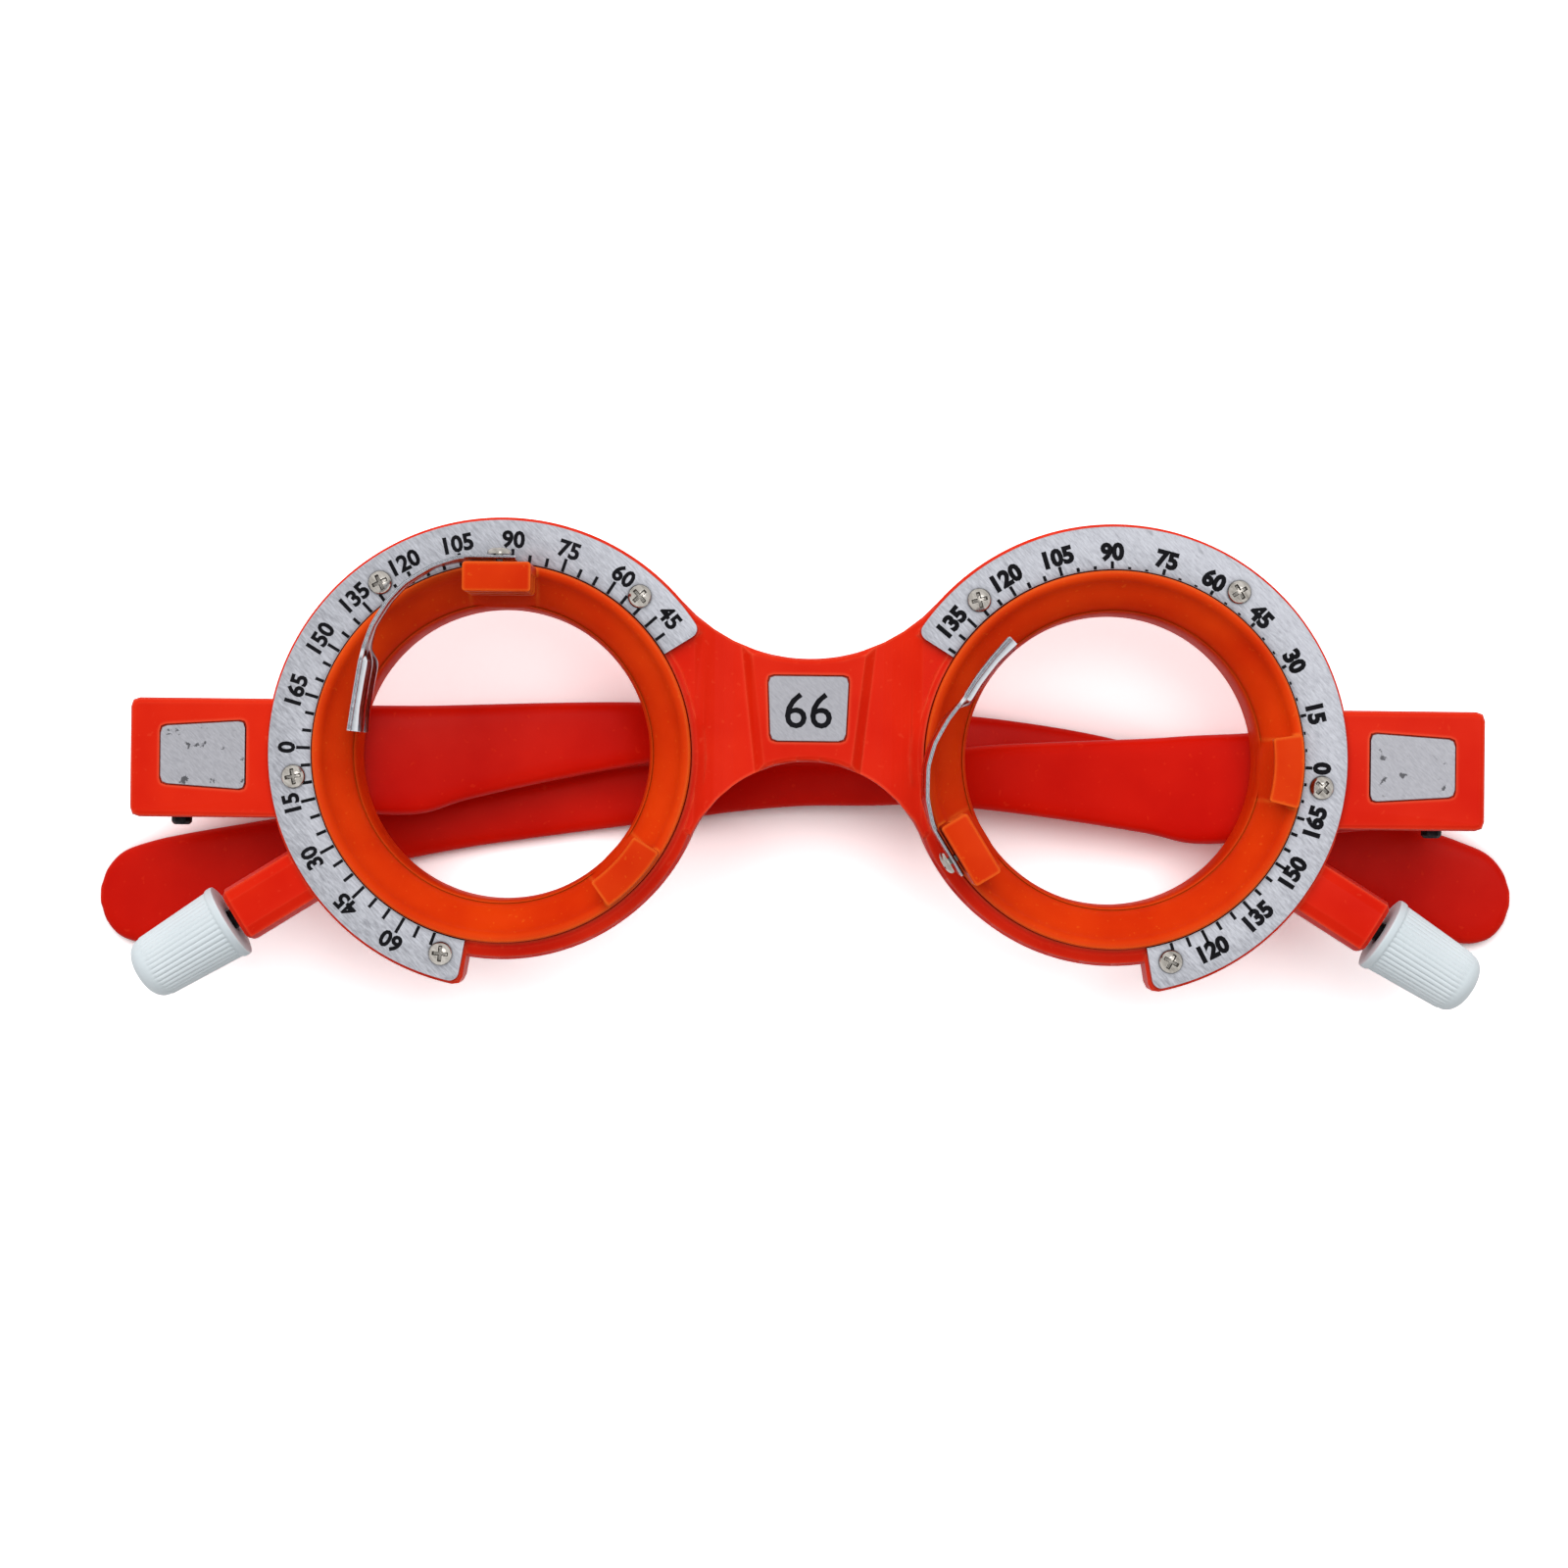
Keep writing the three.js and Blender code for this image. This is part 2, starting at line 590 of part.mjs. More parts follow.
// The turning ring: rim, lens seat, hollow inner side, sleeve, face teeth and two posts
function lensRing([tallAngle, lowAngle]) {
  const seatInner = lensPocketRadius - seatWidth;
  const channelZ = -seatDrop - channelDepth;
  const innerSide = new THREE.QuadraticBezierCurve(
    new THREE.Vector2(seatInner, channelZ),
    new THREE.Vector2(openingRadius, channelZ),
    new THREE.Vector2(openingRadius, sleeveRearZ + openingStraight),
  ).getPoints(arcSteps).map((point) => point.toArray());
  const base = solid(turned([
    [openingRadius, sleeveRearZ], [sleeveRadius, sleeveRearZ], [sleeveRadius, grooveLowZ],
    [grooveRadius, grooveLowZ], [grooveRadius, rearZ], [sleeveRadius, rearZ], [sleeveRadius, toothRootZ],
    [rimRadius, toothRootZ], [rimRadius, rimRise], [lensPocketRadius, rimRise],
    [lensPocketRadius, -seatDrop], [seatInner, -seatDrop], ...innerSide,
  ]));
  const pitchAngle = 2 * Math.PI / ringToothCount;
  const teeth = Array.from({ length: ringToothCount }, (_, i) => {
    return solid(ringTooth().rotateZ(driveAngle + (i + 1 / 2) * pitchAngle));
  });
  const slots = Array.from({ length: tallPostSlots }, (_, i) => {
    const low = i * slotPitch - seatDrop;
    return bar(lensPocketRadius, low, low + slotWidth, ringSides);
  });
  const depth = postOuterDistance - postInnerDistance;
  const middle = (postOuterDistance + postInnerDistance) / 2;
  const tallOutline = quad(middle, 0, depth, postWidth, postWidth, postCorner);
  const holeEnd = postOuterDistance + overrun;
  const screwHole = bar(clipScrewShank + fitGap, postOuterDistance - clipScrewBite, holeEnd, tinySides);
  const tall = cut(
    solid(plate(tallOutline, slipGap, tallPostTop)),
    screwHole.rotateY(turnUp).translate(0, 0, clipScrewZ),
    ...slots,
  );
  const halfSpan = THREE.MathUtils.degToRad(lowPostSpanDeg / 2);
  const lowOutline = sector(postInnerDistance, rimRadius, -halfSpan, halfSpan, postCorner, arcSteps);
  const low = cut(solid(plate(lowOutline, slipGap, lowPostTop)), slots[0]);
  const posts = [[tall, tallAngle], [low, lowAngle]].map(([post, angle]) => {
    return post.rotate([0, 0, THREE.MathUtils.radToDeg(angle)]);
  });
  return wasm.Manifold.union([base, ...teeth, ...posts]);
}

function retainer() {
  const half = THREE.MathUtils.degToRad(retainerGapDeg / 2);
  const inner = grooveRadius + slipGap;
  const end = 2 * Math.PI - half;
  const outline = sector(inner, retainerOuterRadius, half, end, postCorner, longArcSteps);
  return plate(outline, retainerLowZ, retainerTopZ);
}

// The pinion along Z from zero, with a tooth towards -X, which points up once it is laid down
function pinion() {
  const flank = Math.tan(THREE.MathUtils.degToRad(toothFlankDeg));
  const half = pinionToothShare * Math.PI * pitchRadius / pinionToothCount;
  const rootRadius = pitchRadius - toothDedendum;
  const rootAngle = (half + flank * toothDedendum) / rootRadius;
  const tipAngle = (half - flank * toothAddendum) / pinionTipRadius;
  const outline = Array.from({ length: pinionToothCount }, (_, i) => {
    const middle = Math.PI + 2 * Math.PI * i / pinionToothCount;
    return [
      polar(rootRadius, middle - rootAngle), polar(pinionTipRadius, middle - tipAngle),
      polar(pinionTipRadius, middle + tipAngle), polar(rootRadius, middle + rootAngle),
    ];
  }).flat();
  const bore = bar(pinionBoreRadius, -overrun, pinionLength + overrun);
  return cut(solid(plate(outline, 0, pinionLength)), bore);
}

// The knob shaft along Z, measured from the eye centre
function shaft() {
  const end = knobStart + shaftGrip;
  return turned([
    [0, pinionStart], [spigotRadius, pinionStart], [spigotRadius, shaftStart],
    [shaftRadius, shaftStart], [shaftRadius, end], [0, end],
  ], smallSides);
}

// The ribbed knob along Z from zero
function knob() {
  const count = 2 * knobRibCount;
  const flangeRadius = knobBaseRadius + knobFlangeRise;
  const domeStart = knobLength - knobDome;
  const domeArc = arc(1, 0, turnUp, arcSteps).slice(1, -1);
  const levels = [
    [0, flangeRadius, 0], [knobFlange, flangeRadius, 0],
    [knobFlange + knobFlangeRise, knobBaseRadius, knobRibDepth], [domeStart, knobTipRadius, knobRibDepth],
    ...domeArc.map((point) => [domeStart + knobDome * point.y, knobTipRadius * point.x, 0]),
  ];
  const rings = levels.map(([z, radius, rib]) => Array.from({ length: count }, (_, j) => {
    const [x, y] = polar(radius - (j % 2) * rib, 2 * Math.PI * j / count).toArray();
    return new THREE.Vector3(x, y, z);
  }));
  return cut(solid(loft(rings)), bar(shaftRadius + fitGap, -overrun, shaftGrip + fitGap, tinySides));
}

// The leaf spring in the tall post's own directions: X out of the post, Y along its width
function clip() {
  const reach = THREE.MathUtils.degToRad(clipReachDeg);
  const straight = [-clipTail, clipStraight].map((y) => new THREE.Vector3(clipDistance, y, 0));
  const bent = clipShares.map(([turn, distance]) => {
    const [x, y] = polar(distance * clipDistance, turn * reach).toArray();
    return new THREE.Vector3(x, y, 0);
  });
  const shape = clipPadShares.map((pad, i) => new THREE.Vector3(pad, clipLeanShares[i], 0));
  const [path, form] = [[...straight, ...bent], shape].map((points) => {
    return new THREE.CatmullRomCurve3(points, false, 'catmullrom', clipTension);
  });
  const levels = tallPostSlots * 2;
  const firstRidge = slotWidth / 2 + slotPitch / 2 - seatDrop;
  const rings = Array.from({ length: clipSteps + 1 }, (_, i) => {
    const centre = path.getPoint(i / clipSteps);
    const along = path.getTangent(i / clipSteps);
    const out = new THREE.Vector3(along.y, -along.x, 0);
    const { x: pad, y: lean } = form.getPoint(i / clipSteps);
    const [outside, inside] = [1, -1].map((side) => Array.from({ length: levels + 1 }, (_, j) => {
      const share = j / levels;
      const ridgeZ = firstRidge + (j - 1) * slotPitch / 2;
      const padZ = j === 0 ? padLow : Math.min(ridgeZ, padHigh);
      const stripZ = THREE.MathUtils.lerp(clipLow, clipHigh, share);
      const ridge = (j % 2 ? -1 : 1) * padRidge;
      const shift = pad * ridge + lean * clipLean * (2 * share - 1) + side * clipThickness / 2;
      const z = THREE.MathUtils.lerp(stripZ, padZ, Math.min(pad, 1));
      return centre.clone().addScaledVector(out, shift).setZ(z);
    }));
    return [...inside, ...outside.reverse()];
  });
  const hole = bar(clipScrewShank + fitGap, postOuterDistance, clipScrewSeat, tinySides);
  return cut(solid(loft(rings)), hole.rotateY(turnUp).translate(0, 0, clipScrewZ));
}

// How far the temple's middle has dropped below the hinge
function templeDrop(x) {
  const bent = THREE.MathUtils.clamp(x - bendStart, 0, bendEnd - bendStart);
  const past = Math.max(x - bendEnd, 0);
  return templeSlope * (x - bent ** 2 / (2 * (bendEnd - bendStart)) - past);
}

// A temple from its hinge along +X, folded; side is +1 where it passes above the other one
function temple(side) {
  const rows = templeShares.map(([place, middle, height]) => new THREE.Vector3(place, middle, height));
  const pushes = templeShares.map(([place, , , push]) => new THREE.Vector3(place, push, 0));
  const [rowCurve, pushCurve] = [rows, pushes].map((points) => {
    return new THREE.CatmullRomCurve3(points, false, 'catmullrom', templeTension);
  });
  const span = templeLength - templeShoulder;
  const rings = Array.from({ length: templeSteps + 1 }, (_, i) => {
    const row = rowCurve.getPoint(i / templeSteps);
    const push = side * crossingFlex * pushCurve.getPoint(i / templeSteps).y;
    const x = templeShoulder + row.x * span;
    const thin = THREE.MathUtils.smoothstep(row.x, ...thinningShares);
    const thickness = THREE.MathUtils.lerp(templeRootThickness, templeThickness, thin);
    const height = row.z * templeHeight;
    const round = Math.min(templeRound, height / 2 - fitGap, thickness / 2 - fitGap);
    const slope = (templeDrop(x + fitGap) - templeDrop(x - fitGap)) / (2 * fitGap);
    const lift = new THREE.Vector3(slope, 0, 1).normalize();
    const outline = quad(0, templeHeight * row.y + push, thickness, height, height, round, 1);
    return outline.map((point) => {
      return new THREE.Vector3(x, point.y, -templeDrop(x)).addScaledVector(lift, -point.x);
    });
  });
  const half = knuckleHeight / 2;
  const knuckle = bar(knuckleRadius, endpieceY - half, endpieceY + half).rotateX(-turnUp);
  const neckHalf = templeRootThickness / 2 - fitGap;
  const neckEnd = templeShoulder + overrun;
  const neck = block([0, endpieceY - half, -neckHalf], [neckEnd, endpieceY + half, neckHalf]);
  neck.rotateY(Math.atan(templeSlope));
  const hole = bar(pinRadius + slipGap, endpieceLow, endpieceHigh).rotateX(-turnUp);
  return cut(join(loft(rings), knuckle, neck), hole);
}

function hingePin() {
  const length = endpieceHeight - pinCover - fitGap;
  return turned([
    [0, -pinHeadHeight], [pinHeadRadius - pinHeadRound, -pinHeadHeight],
    [pinHeadRadius, pinHeadRound - pinHeadHeight],
    [pinHeadRadius, 0], [pinRadius, 0], [pinRadius, length], [0, length],
  ], smallSides);
}

function mesh(name, body, material) {
  const made = new THREE.Mesh(body.isBufferGeometry ? body : shell(body), material);
  made.name = name;
  return made;
}

// Everything that belongs to one side, in the left half's own directions
function sideGroup(name, posts, side) {
  const half = new THREE.Group();
  half.scale.x = side;

  const eye = new THREE.Group();
  eye.position.x = eyeX;
  eye.add(mesh(`${name}_dial`, dial(), brushedSheet));
  eye.add(mesh(`${name}_lens_ring`, lensRing(posts), orangePlastic));
  eye.add(mesh(`${name}_ring_retainer`, retainer(), springSteel));
  const endPlateBody = plate(endPlateOutline(0), 0, plateThickness);
  const endPlate = mesh(`${name}_end_plate`, endPlateBody, brushedSheet);
  endPlate.position.z = seatZ - plateRecess;
  eye.add(endPlate);
  dialScrewDegs.forEach((angle, i) => {
    const body = screw(screwHeadRadius, screwHeadHeight, screwShankRadius, screwShankLength);
    const made = mesh(`${name}_dial_screw_${i + 1}`, body, nickel);
    made.position.set(...polar(dialScrewRadius, THREE.MathUtils.degToRad(angle)).toArray(), 0);
    eye.add(made);
  });

  // The clip and its screw turn with the lens ring, so they follow the tall post
  const post = new THREE.Group();
  post.rotation.z = posts[0];
  post.add(mesh(`${name}_spring_clip`, clip(), springSteel));
  const reach = clipScrewSeat - postOuterDistance + clipScrewBite - fitGap;
  const clipScrew = screw(screwHeadRadius, clipScrewHeadHeight, clipScrewShank, reach);
  const turnedScrew = mesh(`${name}_clip_screw`, clipScrew, nickel);
  turnedScrew.rotation.y = turnUp;
  turnedScrew.position.set(clipScrewSeat, 0, clipScrewZ);
  post.add(turnedScrew);
  eye.add(post);

  // The knob, its shaft and the pinion share one axis out through the boss
  const drive = new THREE.Group();
  drive.rotation.z = driveAngle;
  drive.position.z = -driveDepth;
  const driven = [
    ['pinion', pinion(), brass, pinionStart],
    ['knob_shaft', shaft(), blackSteel, 0],
    ['knob', knob(), whitePlastic, knobStart],
  ];
  driven.forEach(([part, body, material, start]) => {
    const made = mesh(`${name}_${part}`, body, material);
    made.rotation.y = turnUp;
    made.position.x = start;
    drive.add(made);
  });
  eye.add(drive);
  half.add(eye);

  const arm = mesh(`${name}_temple`, temple(side), redPlastic);
  arm.position.set(-hingeX, 0, -hingeDepth);
  const pin = mesh(`${name}_hinge_pin`, hingePin(), blackSteel);
  pin.rotation.x = -turnUp;
  pin.position.set(-hingeX, endpieceLow, -hingeDepth);
  half.add(arm, pin);
  return half;
}

const group = new THREE.Group();
group.name = 'optical_trial_frame';
group.add(mesh('front_frame', frontFrame(), redPlastic));
const markPlate = mesh('bridge_plate', plate(markPlateOutline(0), 0, plateThickness), brushedSheet);
markPlate.position.z = seatZ - plateRecess;
group.add(markPlate);
group.add(sideGroup('left', leftPosts, 1));
group.add(sideGroup('right', rightPosts, -1));

// Stand the frame on the table with the origin under its middle
const box = new THREE.Box3().setFromObject(group, true);
const middle = box.getCenter(new THREE.Vector3());
group.position.set(-middle.x, -middle.y, -box.min.z);

export default group;
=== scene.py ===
# %% [markdown]
# # An optical trial frame, dressed over its CAD frame
# An eye tester puts this red plastic frame on a person's nose, drops round trial lenses into the two
# orange rings and turns a ring with its white knob until the angle on the dial is right. Here it lies
# on its folded temples on a pale table, seen from straight above.
# The CAD frame already holds every size and every joint. This file only puts the finer surfaces and
# the finishes on it, so each step starts from a size that the CAD frame gives.

# %% The CAD frame
import math

import bmesh
import bpy
import numpy as np
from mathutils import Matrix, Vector


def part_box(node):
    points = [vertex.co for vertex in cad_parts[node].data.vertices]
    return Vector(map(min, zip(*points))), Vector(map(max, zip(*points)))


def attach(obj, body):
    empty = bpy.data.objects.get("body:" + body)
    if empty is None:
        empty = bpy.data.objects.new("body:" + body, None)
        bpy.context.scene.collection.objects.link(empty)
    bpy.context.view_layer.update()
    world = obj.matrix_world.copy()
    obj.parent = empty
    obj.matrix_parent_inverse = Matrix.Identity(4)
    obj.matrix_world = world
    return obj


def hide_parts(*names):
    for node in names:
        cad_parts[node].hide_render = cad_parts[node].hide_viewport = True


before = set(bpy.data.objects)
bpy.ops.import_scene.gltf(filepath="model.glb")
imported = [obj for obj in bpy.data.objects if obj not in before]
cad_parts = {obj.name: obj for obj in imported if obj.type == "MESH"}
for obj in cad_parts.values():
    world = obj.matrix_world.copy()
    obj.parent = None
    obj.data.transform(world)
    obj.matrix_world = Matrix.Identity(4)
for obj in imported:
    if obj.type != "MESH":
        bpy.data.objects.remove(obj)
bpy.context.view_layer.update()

# %% [markdown]
# ## One place to measure from
# Each half of the frame is round an eye centre, so the lengths below are in millimetres from that
# centre, with height zero on the dial's face. Only the left half is written down. The right half is
# its mirror image, and `place` does the mirroring, the moving and the change to metres in one go.

# %% Places on the frame
MM = 0.001
EYE_X = 33.0  # half of the 66 mm between the eye centres
SIDES = {"left": 1.0, "right": -1.0}
retainer_low, retainer_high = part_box("left_ring_retainer")
EYE_Y = (retainer_low.y + retainer_high.y) / 2 / MM
FACE_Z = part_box("left_dial")[1].z / MM
PAD_MIDDLE, RIDGE_PITCH = 5.45, 1.6  # of the clips' pads: height over the dial, ridge to hollow


def place(points, side, from_eye=True):
    """Metres in the frame: x is counted from the eye centre, or from the nose when from_eye is off,
    and its sign turns round on the right side; y and z only move."""
    moved = np.array(points, float)
    moved[..., 0] = SIDES[side] * (moved[..., 0] - EYE_X * from_eye)
    moved[..., 1] += EYE_Y
    moved[..., 2] += FACE_Z
    return moved * MM


def points_of(x, y, z):
    """One array of points from three coordinates, which may each vary along other directions."""
    return np.stack(np.broadcast_arrays(x, y, z), axis=-1)


def turned_by(points, angle):
    """The points turned about the eye's axis: x cos a - y sin a, x sin a + y cos a."""
    x, y = points[..., 0], points[..., 1]
    c, s = np.cos(angle), np.sin(angle)
    return points_of(x * c - y * s, x * s + y * c, points[..., 2])


print(f"dial face {FACE_Z:.2f} mm above the table, eye centres at y {EYE_Y:.2f} mm")

# %% [markdown]
# ## From a grid of points to a piece
# Nearly every surface here is a function of two parameters, worked out as one array of points. A
# quad joins each point to its three neighbours. An end that isn't closed by wrapping round gets a
# flat cap. Where a row shrinks to a pole its points fall together, so doubles are merged first and
# the normals are pointed outwards after that.

# %% Building meshes
def quads_of(rows, cols, wrap_rows, wrap_cols):
    """Indices (r, c), (r, c+1), (r+1, c+1), (r+1, c) for each cell, counted round where it wraps."""
    r = np.arange(rows if wrap_rows else rows - 1)[:, None]
    c = np.arange(cols if wrap_cols else cols - 1)[None, :]
    r2, c2 = (r + 1) % rows, (c + 1) % cols
    cells = [r * cols + c, r * cols + c2, r2 * cols + c2, r2 * cols + c]
    return np.stack(cells, axis=-1).reshape(-1, 4)


def new_object(name, data, material=None):
    """The data as an object in the scene. A mesh gets this one material."""
    obj = bpy.data.objects.new(name, data)
    bpy.context.scene.collection.objects.link(obj)
    if material:
        data.materials.clear()
        data.materials.append(material)
    return obj


def smooth(mesh, angle):
    """Smooth shading, kept sharp where two faces meet at more than the angle in degrees."""
    mesh.polygons.foreach_set("use_smooth", np.ones(len(mesh.polygons), bool))
    mesh.set_sharp_from_angle(angle=math.radians(angle))
    mesh.update()


def mesh_of(name, points, faces, merge, sliver=None):
    """A mesh from arrays of points and lists of faces: points closer than merge become one, edges
    shorter than sliver go, and the normals are pointed outwards after that."""
    mesh = bpy.data.meshes.new(name)
    mesh.from_pydata(np.concatenate(points).tolist(), [], faces)
    work = bmesh.new()
    work.from_mesh(mesh)
    bmesh.ops.remove_doubles(work, verts=work.verts, dist=merge)
    if sliver:
        bmesh.ops.dissolve_degenerate(work, edges=work.edges, dist=sliver)
    bmesh.ops.recalc_face_normals(work, faces=work.faces)
    work.to_mesh(mesh)
    work.free()
    return mesh


def wear(obj, body, slot, *nodes):
    """The piece rides on its body and stands for the CAD nodes. The slot is not used."""
    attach(obj, body)
    if nodes:
        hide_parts(*nodes)
    return obj


def skin_piece(name, skins, material, body, slot, node, angle=32):
    """A worn piece from several closed skins; a skin is (grid in metres, wrap rows, wrap columns)."""
    points, faces, start = [], [], 0
    for grid, wrap_rows, wrap_cols in skins:
        rows, cols = grid.shape[:2]
        points.append(grid.reshape(-1, 3))
        faces += (quads_of(rows, cols, wrap_rows, wrap_cols) + start).tolist()
        if not wrap_rows and wrap_cols:
            faces.append(list(range(start, start + cols)))
            faces.append(list(range(start + (rows - 1) * cols, start + rows * cols)))
        start += rows * cols
    mesh = mesh_of(name, points, faces, merge=2e-6, sliver=1e-7)
    smooth(mesh, angle)
    return wear(new_object(name, mesh, material), body, slot, node)

# %% [markdown]
# ## Profiles
# A turned or moulded piece starts as an outline with soft corners. `soften` cuts each corner and
# bends a Bezier arc through the gap, all corners at once. `lathe` then carries a profile round the
# vertical line.

# %% Soft corners and turning
def soften(corners, radius, steps=3):
    """Each corner becomes (1-t)^2 start + 2t(1-t) corner + t^2 end, from a radius before it to after."""
    here = np.asarray(corners, float)
    radius = np.broadcast_to(np.asarray(radius, float), len(here))[:, None]
    ends = []
    for step in (1, -1):
        leg = np.roll(here, step, axis=0) - here
        length = np.maximum(np.linalg.norm(leg, axis=1, keepdims=True), 1e-9)
        ends.append(here + leg / length * np.minimum(radius, length / 2))
    t = np.linspace(0, 1, steps + 1)[None, :, None]
    curve = (1 - t) ** 2 * ends[0][:, None] + 2 * t * (1 - t) * here[:, None] + t**2 * ends[1][:, None]
    return curve.reshape(-1, 2)


def ends_eased(half, corner, middle, bends=6):
    """Places from -half to half, close together over the last stretch, and how far the corners
    pull in there: corner times one minus sine."""
    quarter = np.linspace(0, np.pi / 2, bends)
    first = -half + corner * (1 - np.cos(quarter))
    pull = corner * (1 - np.sin(quarter))
    inside = np.linspace(first[-1], -first[-1], middle)[1:-1]
    return np.concatenate([first, inside, -first[::-1]]), np.concatenate([pull, 0 * inside, pull[::-1]])


def lathe(profile, steps):
    """x = r cos a, y = r sin a, z = height, for every angle a and every profile point (r, height)."""
    a = np.linspace(0, 2 * np.pi, steps, endpoint=False)[:, None]
    r, z = np.asarray(profile, float).T[:, None, :]
    return points_of(r * np.cos(a), r * np.sin(a), z)


def out_along(grid, angle, start, height):
    """A shape built along z laid down to point out from the eye centre: z becomes the distance."""
    x, y, z = grid[..., 0], grid[..., 1], grid[..., 2]
    return turned_by(points_of(start + z, y, height - x), angle)


def catmull(rows, share, tension):
    """A smooth curve through all rows: Hermite pieces whose slope at a row is tension times the
    step from the row before it to the row after it."""
    rows = np.asarray(rows, float)
    before = np.vstack([2 * rows[0] - rows[1], rows[:-1]])
    after = np.vstack([rows[1:], 2 * rows[-1] - rows[-2]])
    slope = tension * (after - before)
    at = np.clip(share, 0, 1) * (len(rows) - 1)
    i = np.minimum(at.astype(int), len(rows) - 2)
    t = (at - i)[:, None]
    h = [2 * t**3 - 3 * t**2 + 1, t**3 - 2 * t**2 + t, -2 * t**3 + 3 * t**2, t**3 - t**2]
    return h[0] * rows[i] + h[1] * slope[i] + h[2] * rows[i + 1] + h[3] * slope[i + 1]


print("a softened square has", len(soften([(0, 0), (1, 0), (1, 1), (0, 1)], 0.1)), "points")

# %% [markdown]
# ## The camera
# The photograph was taken from above, nearly 400 mm over the dials and a little to the left of the
# nose, with the frame lying turned by two thirds of a degree. The picture is square.

# %% The camera
CAMERA_HEIGHT, HALF_VIEW = 380, 84.4  # over the dials, and what the picture shows there to each side
CAMERA_OFF, CAMERA_TURN = (-2.53, -2.97), 0.64  # off the middle between the eyes, and in degrees
camera_data = bpy.data.cameras.new("camera")
camera_data.angle = 2 * math.atan(HALF_VIEW / CAMERA_HEIGHT)
camera = new_object("camera", camera_data)
camera.location = Vector((CAMERA_OFF[0], EYE_Y + CAMERA_OFF[1], FACE_Z + CAMERA_HEIGHT)) * MM
camera.rotation_euler = (0, 0, math.radians(CAMERA_TURN))
bpy.context.scene.camera = camera
print("camera", [round(v / MM) for v in camera.location], "mm")

# %% [markdown]
# ## Finishes: what several materials share
# Three effects come back in more than one finish, so each is a node group, built once.
# `moulded skin` is what a steel mould leaves on plastic. `brushed lines` are the long scratches of a
# brushed sheet. The third group finds the edges, which get a painted highlight that makes plastic
# paler and metal brighter, and the grooves and inner corners, which get painted shade.

# %% Node helpers
def group(name, inputs, outputs):
    """A new shader node group with its named sockets; returns tree, input node and output node."""
    tree = bpy.data.node_groups.new(name, "ShaderNodeTree")
    for label, value in inputs.items():
        socket = tree.interface.new_socket(label, in_out="INPUT", socket_type="NodeSocketFloat")
        socket.default_value = value
    for label in outputs:
        tree.interface.new_socket(label, in_out="OUTPUT", socket_type="NodeSocketFloat")
    return tree, tree.nodes.new("NodeGroupInput"), tree.nodes.new("NodeGroupOutput")


def feed(tree, node, links):
    """Each input of the node, by name or number, gets its value or is joined to its socket."""
    for key, value in links.items():
        if isinstance(value, bpy.types.NodeSocket):
            tree.links.new(value, node.inputs[key])
        else:
            node.inputs[key].default_value = value
    return node


def add(tree, kind, links=None, **settings):
    """A new node with its settings and with its inputs fed."""
    node = tree.nodes.new(kind)
    for key, value in settings.items():
        setattr(node, key, value)
    return feed(tree, node, links or {})


def math_of(tree, operation, first, second=0.0):
    """One step of arithmetic on sockets or numbers."""
    return add(tree, "ShaderNodeMath", {0: first, 1: second}, operation=operation).outputs[0]


def noise_of(tree, vector, scale, detail=2.0, rough=0.5, size=None):
    """Noise with so many bumps to the metre, times the size where a socket gives one."""
    if size is not None:
        scale = math_of(tree, "MULTIPLY", size, scale)
    links = {"Vector": vector, "Scale": scale, "Detail": detail, "Roughness": rough}
    return add(tree, "ShaderNodeTexNoise", links).outputs["Fac"]


def ramp_of(tree, value, low, high, to_low=0.0, to_high=1.0):
    """Value stretched so that low gives to_low and high gives to_high, and held at both ends."""
    links = {"Value": value, "From Min": low, "From Max": high, "To Min": to_low, "To Max": to_high}
    return add(tree, "ShaderNodeMapRange", links).outputs["Result"]


def blend_colours(tree, factor, first, second):
    """Colours mixed by the factor; each is a socket or four numbers."""
    return add(tree, "ShaderNodeMix", {0: factor, 6: first, 7: second}, data_type="RGBA").outputs[2]


def object_place(tree):
    """The place on the piece itself, in metres."""
    return add(tree, "ShaderNodeTexCoord").outputs["Object"]


# %% The shared groups
CLOUDS, PEEL, SPECKS = 90.0, 2600.0, 1500.0  # bumps to the metre at size 1, as in the next row
STREAKS, SCRATCHES, FLECKS = 2600.0, 900.0, 620.0
BRUSHED_AT = 0.8  # the way of the brushing, in radians from x


def make_moulded_skin():
    """Tone: slow clouds. Dust: the peaks of a finer noise. Height: the orange peel."""
    tree, given, made = group("moulded skin", {"Size": 1.0}, ["Tone", "Dust", "Height"])
    place_on, size = object_place(tree), given.outputs["Size"]
    clouds = noise_of(tree, place_on, CLOUDS, 3.0, size=size)
    peel = noise_of(tree, place_on, PEEL, 3.0, 0.6, size=size)
    specks = noise_of(tree, place_on, SPECKS, 1.0, size=size)
    feed(tree, made, {"Tone": ramp_of(tree, clouds, 0.3, 0.7),
                      "Dust": ramp_of(tree, specks, 0.69, 0.76), "Height": peel})
    return tree


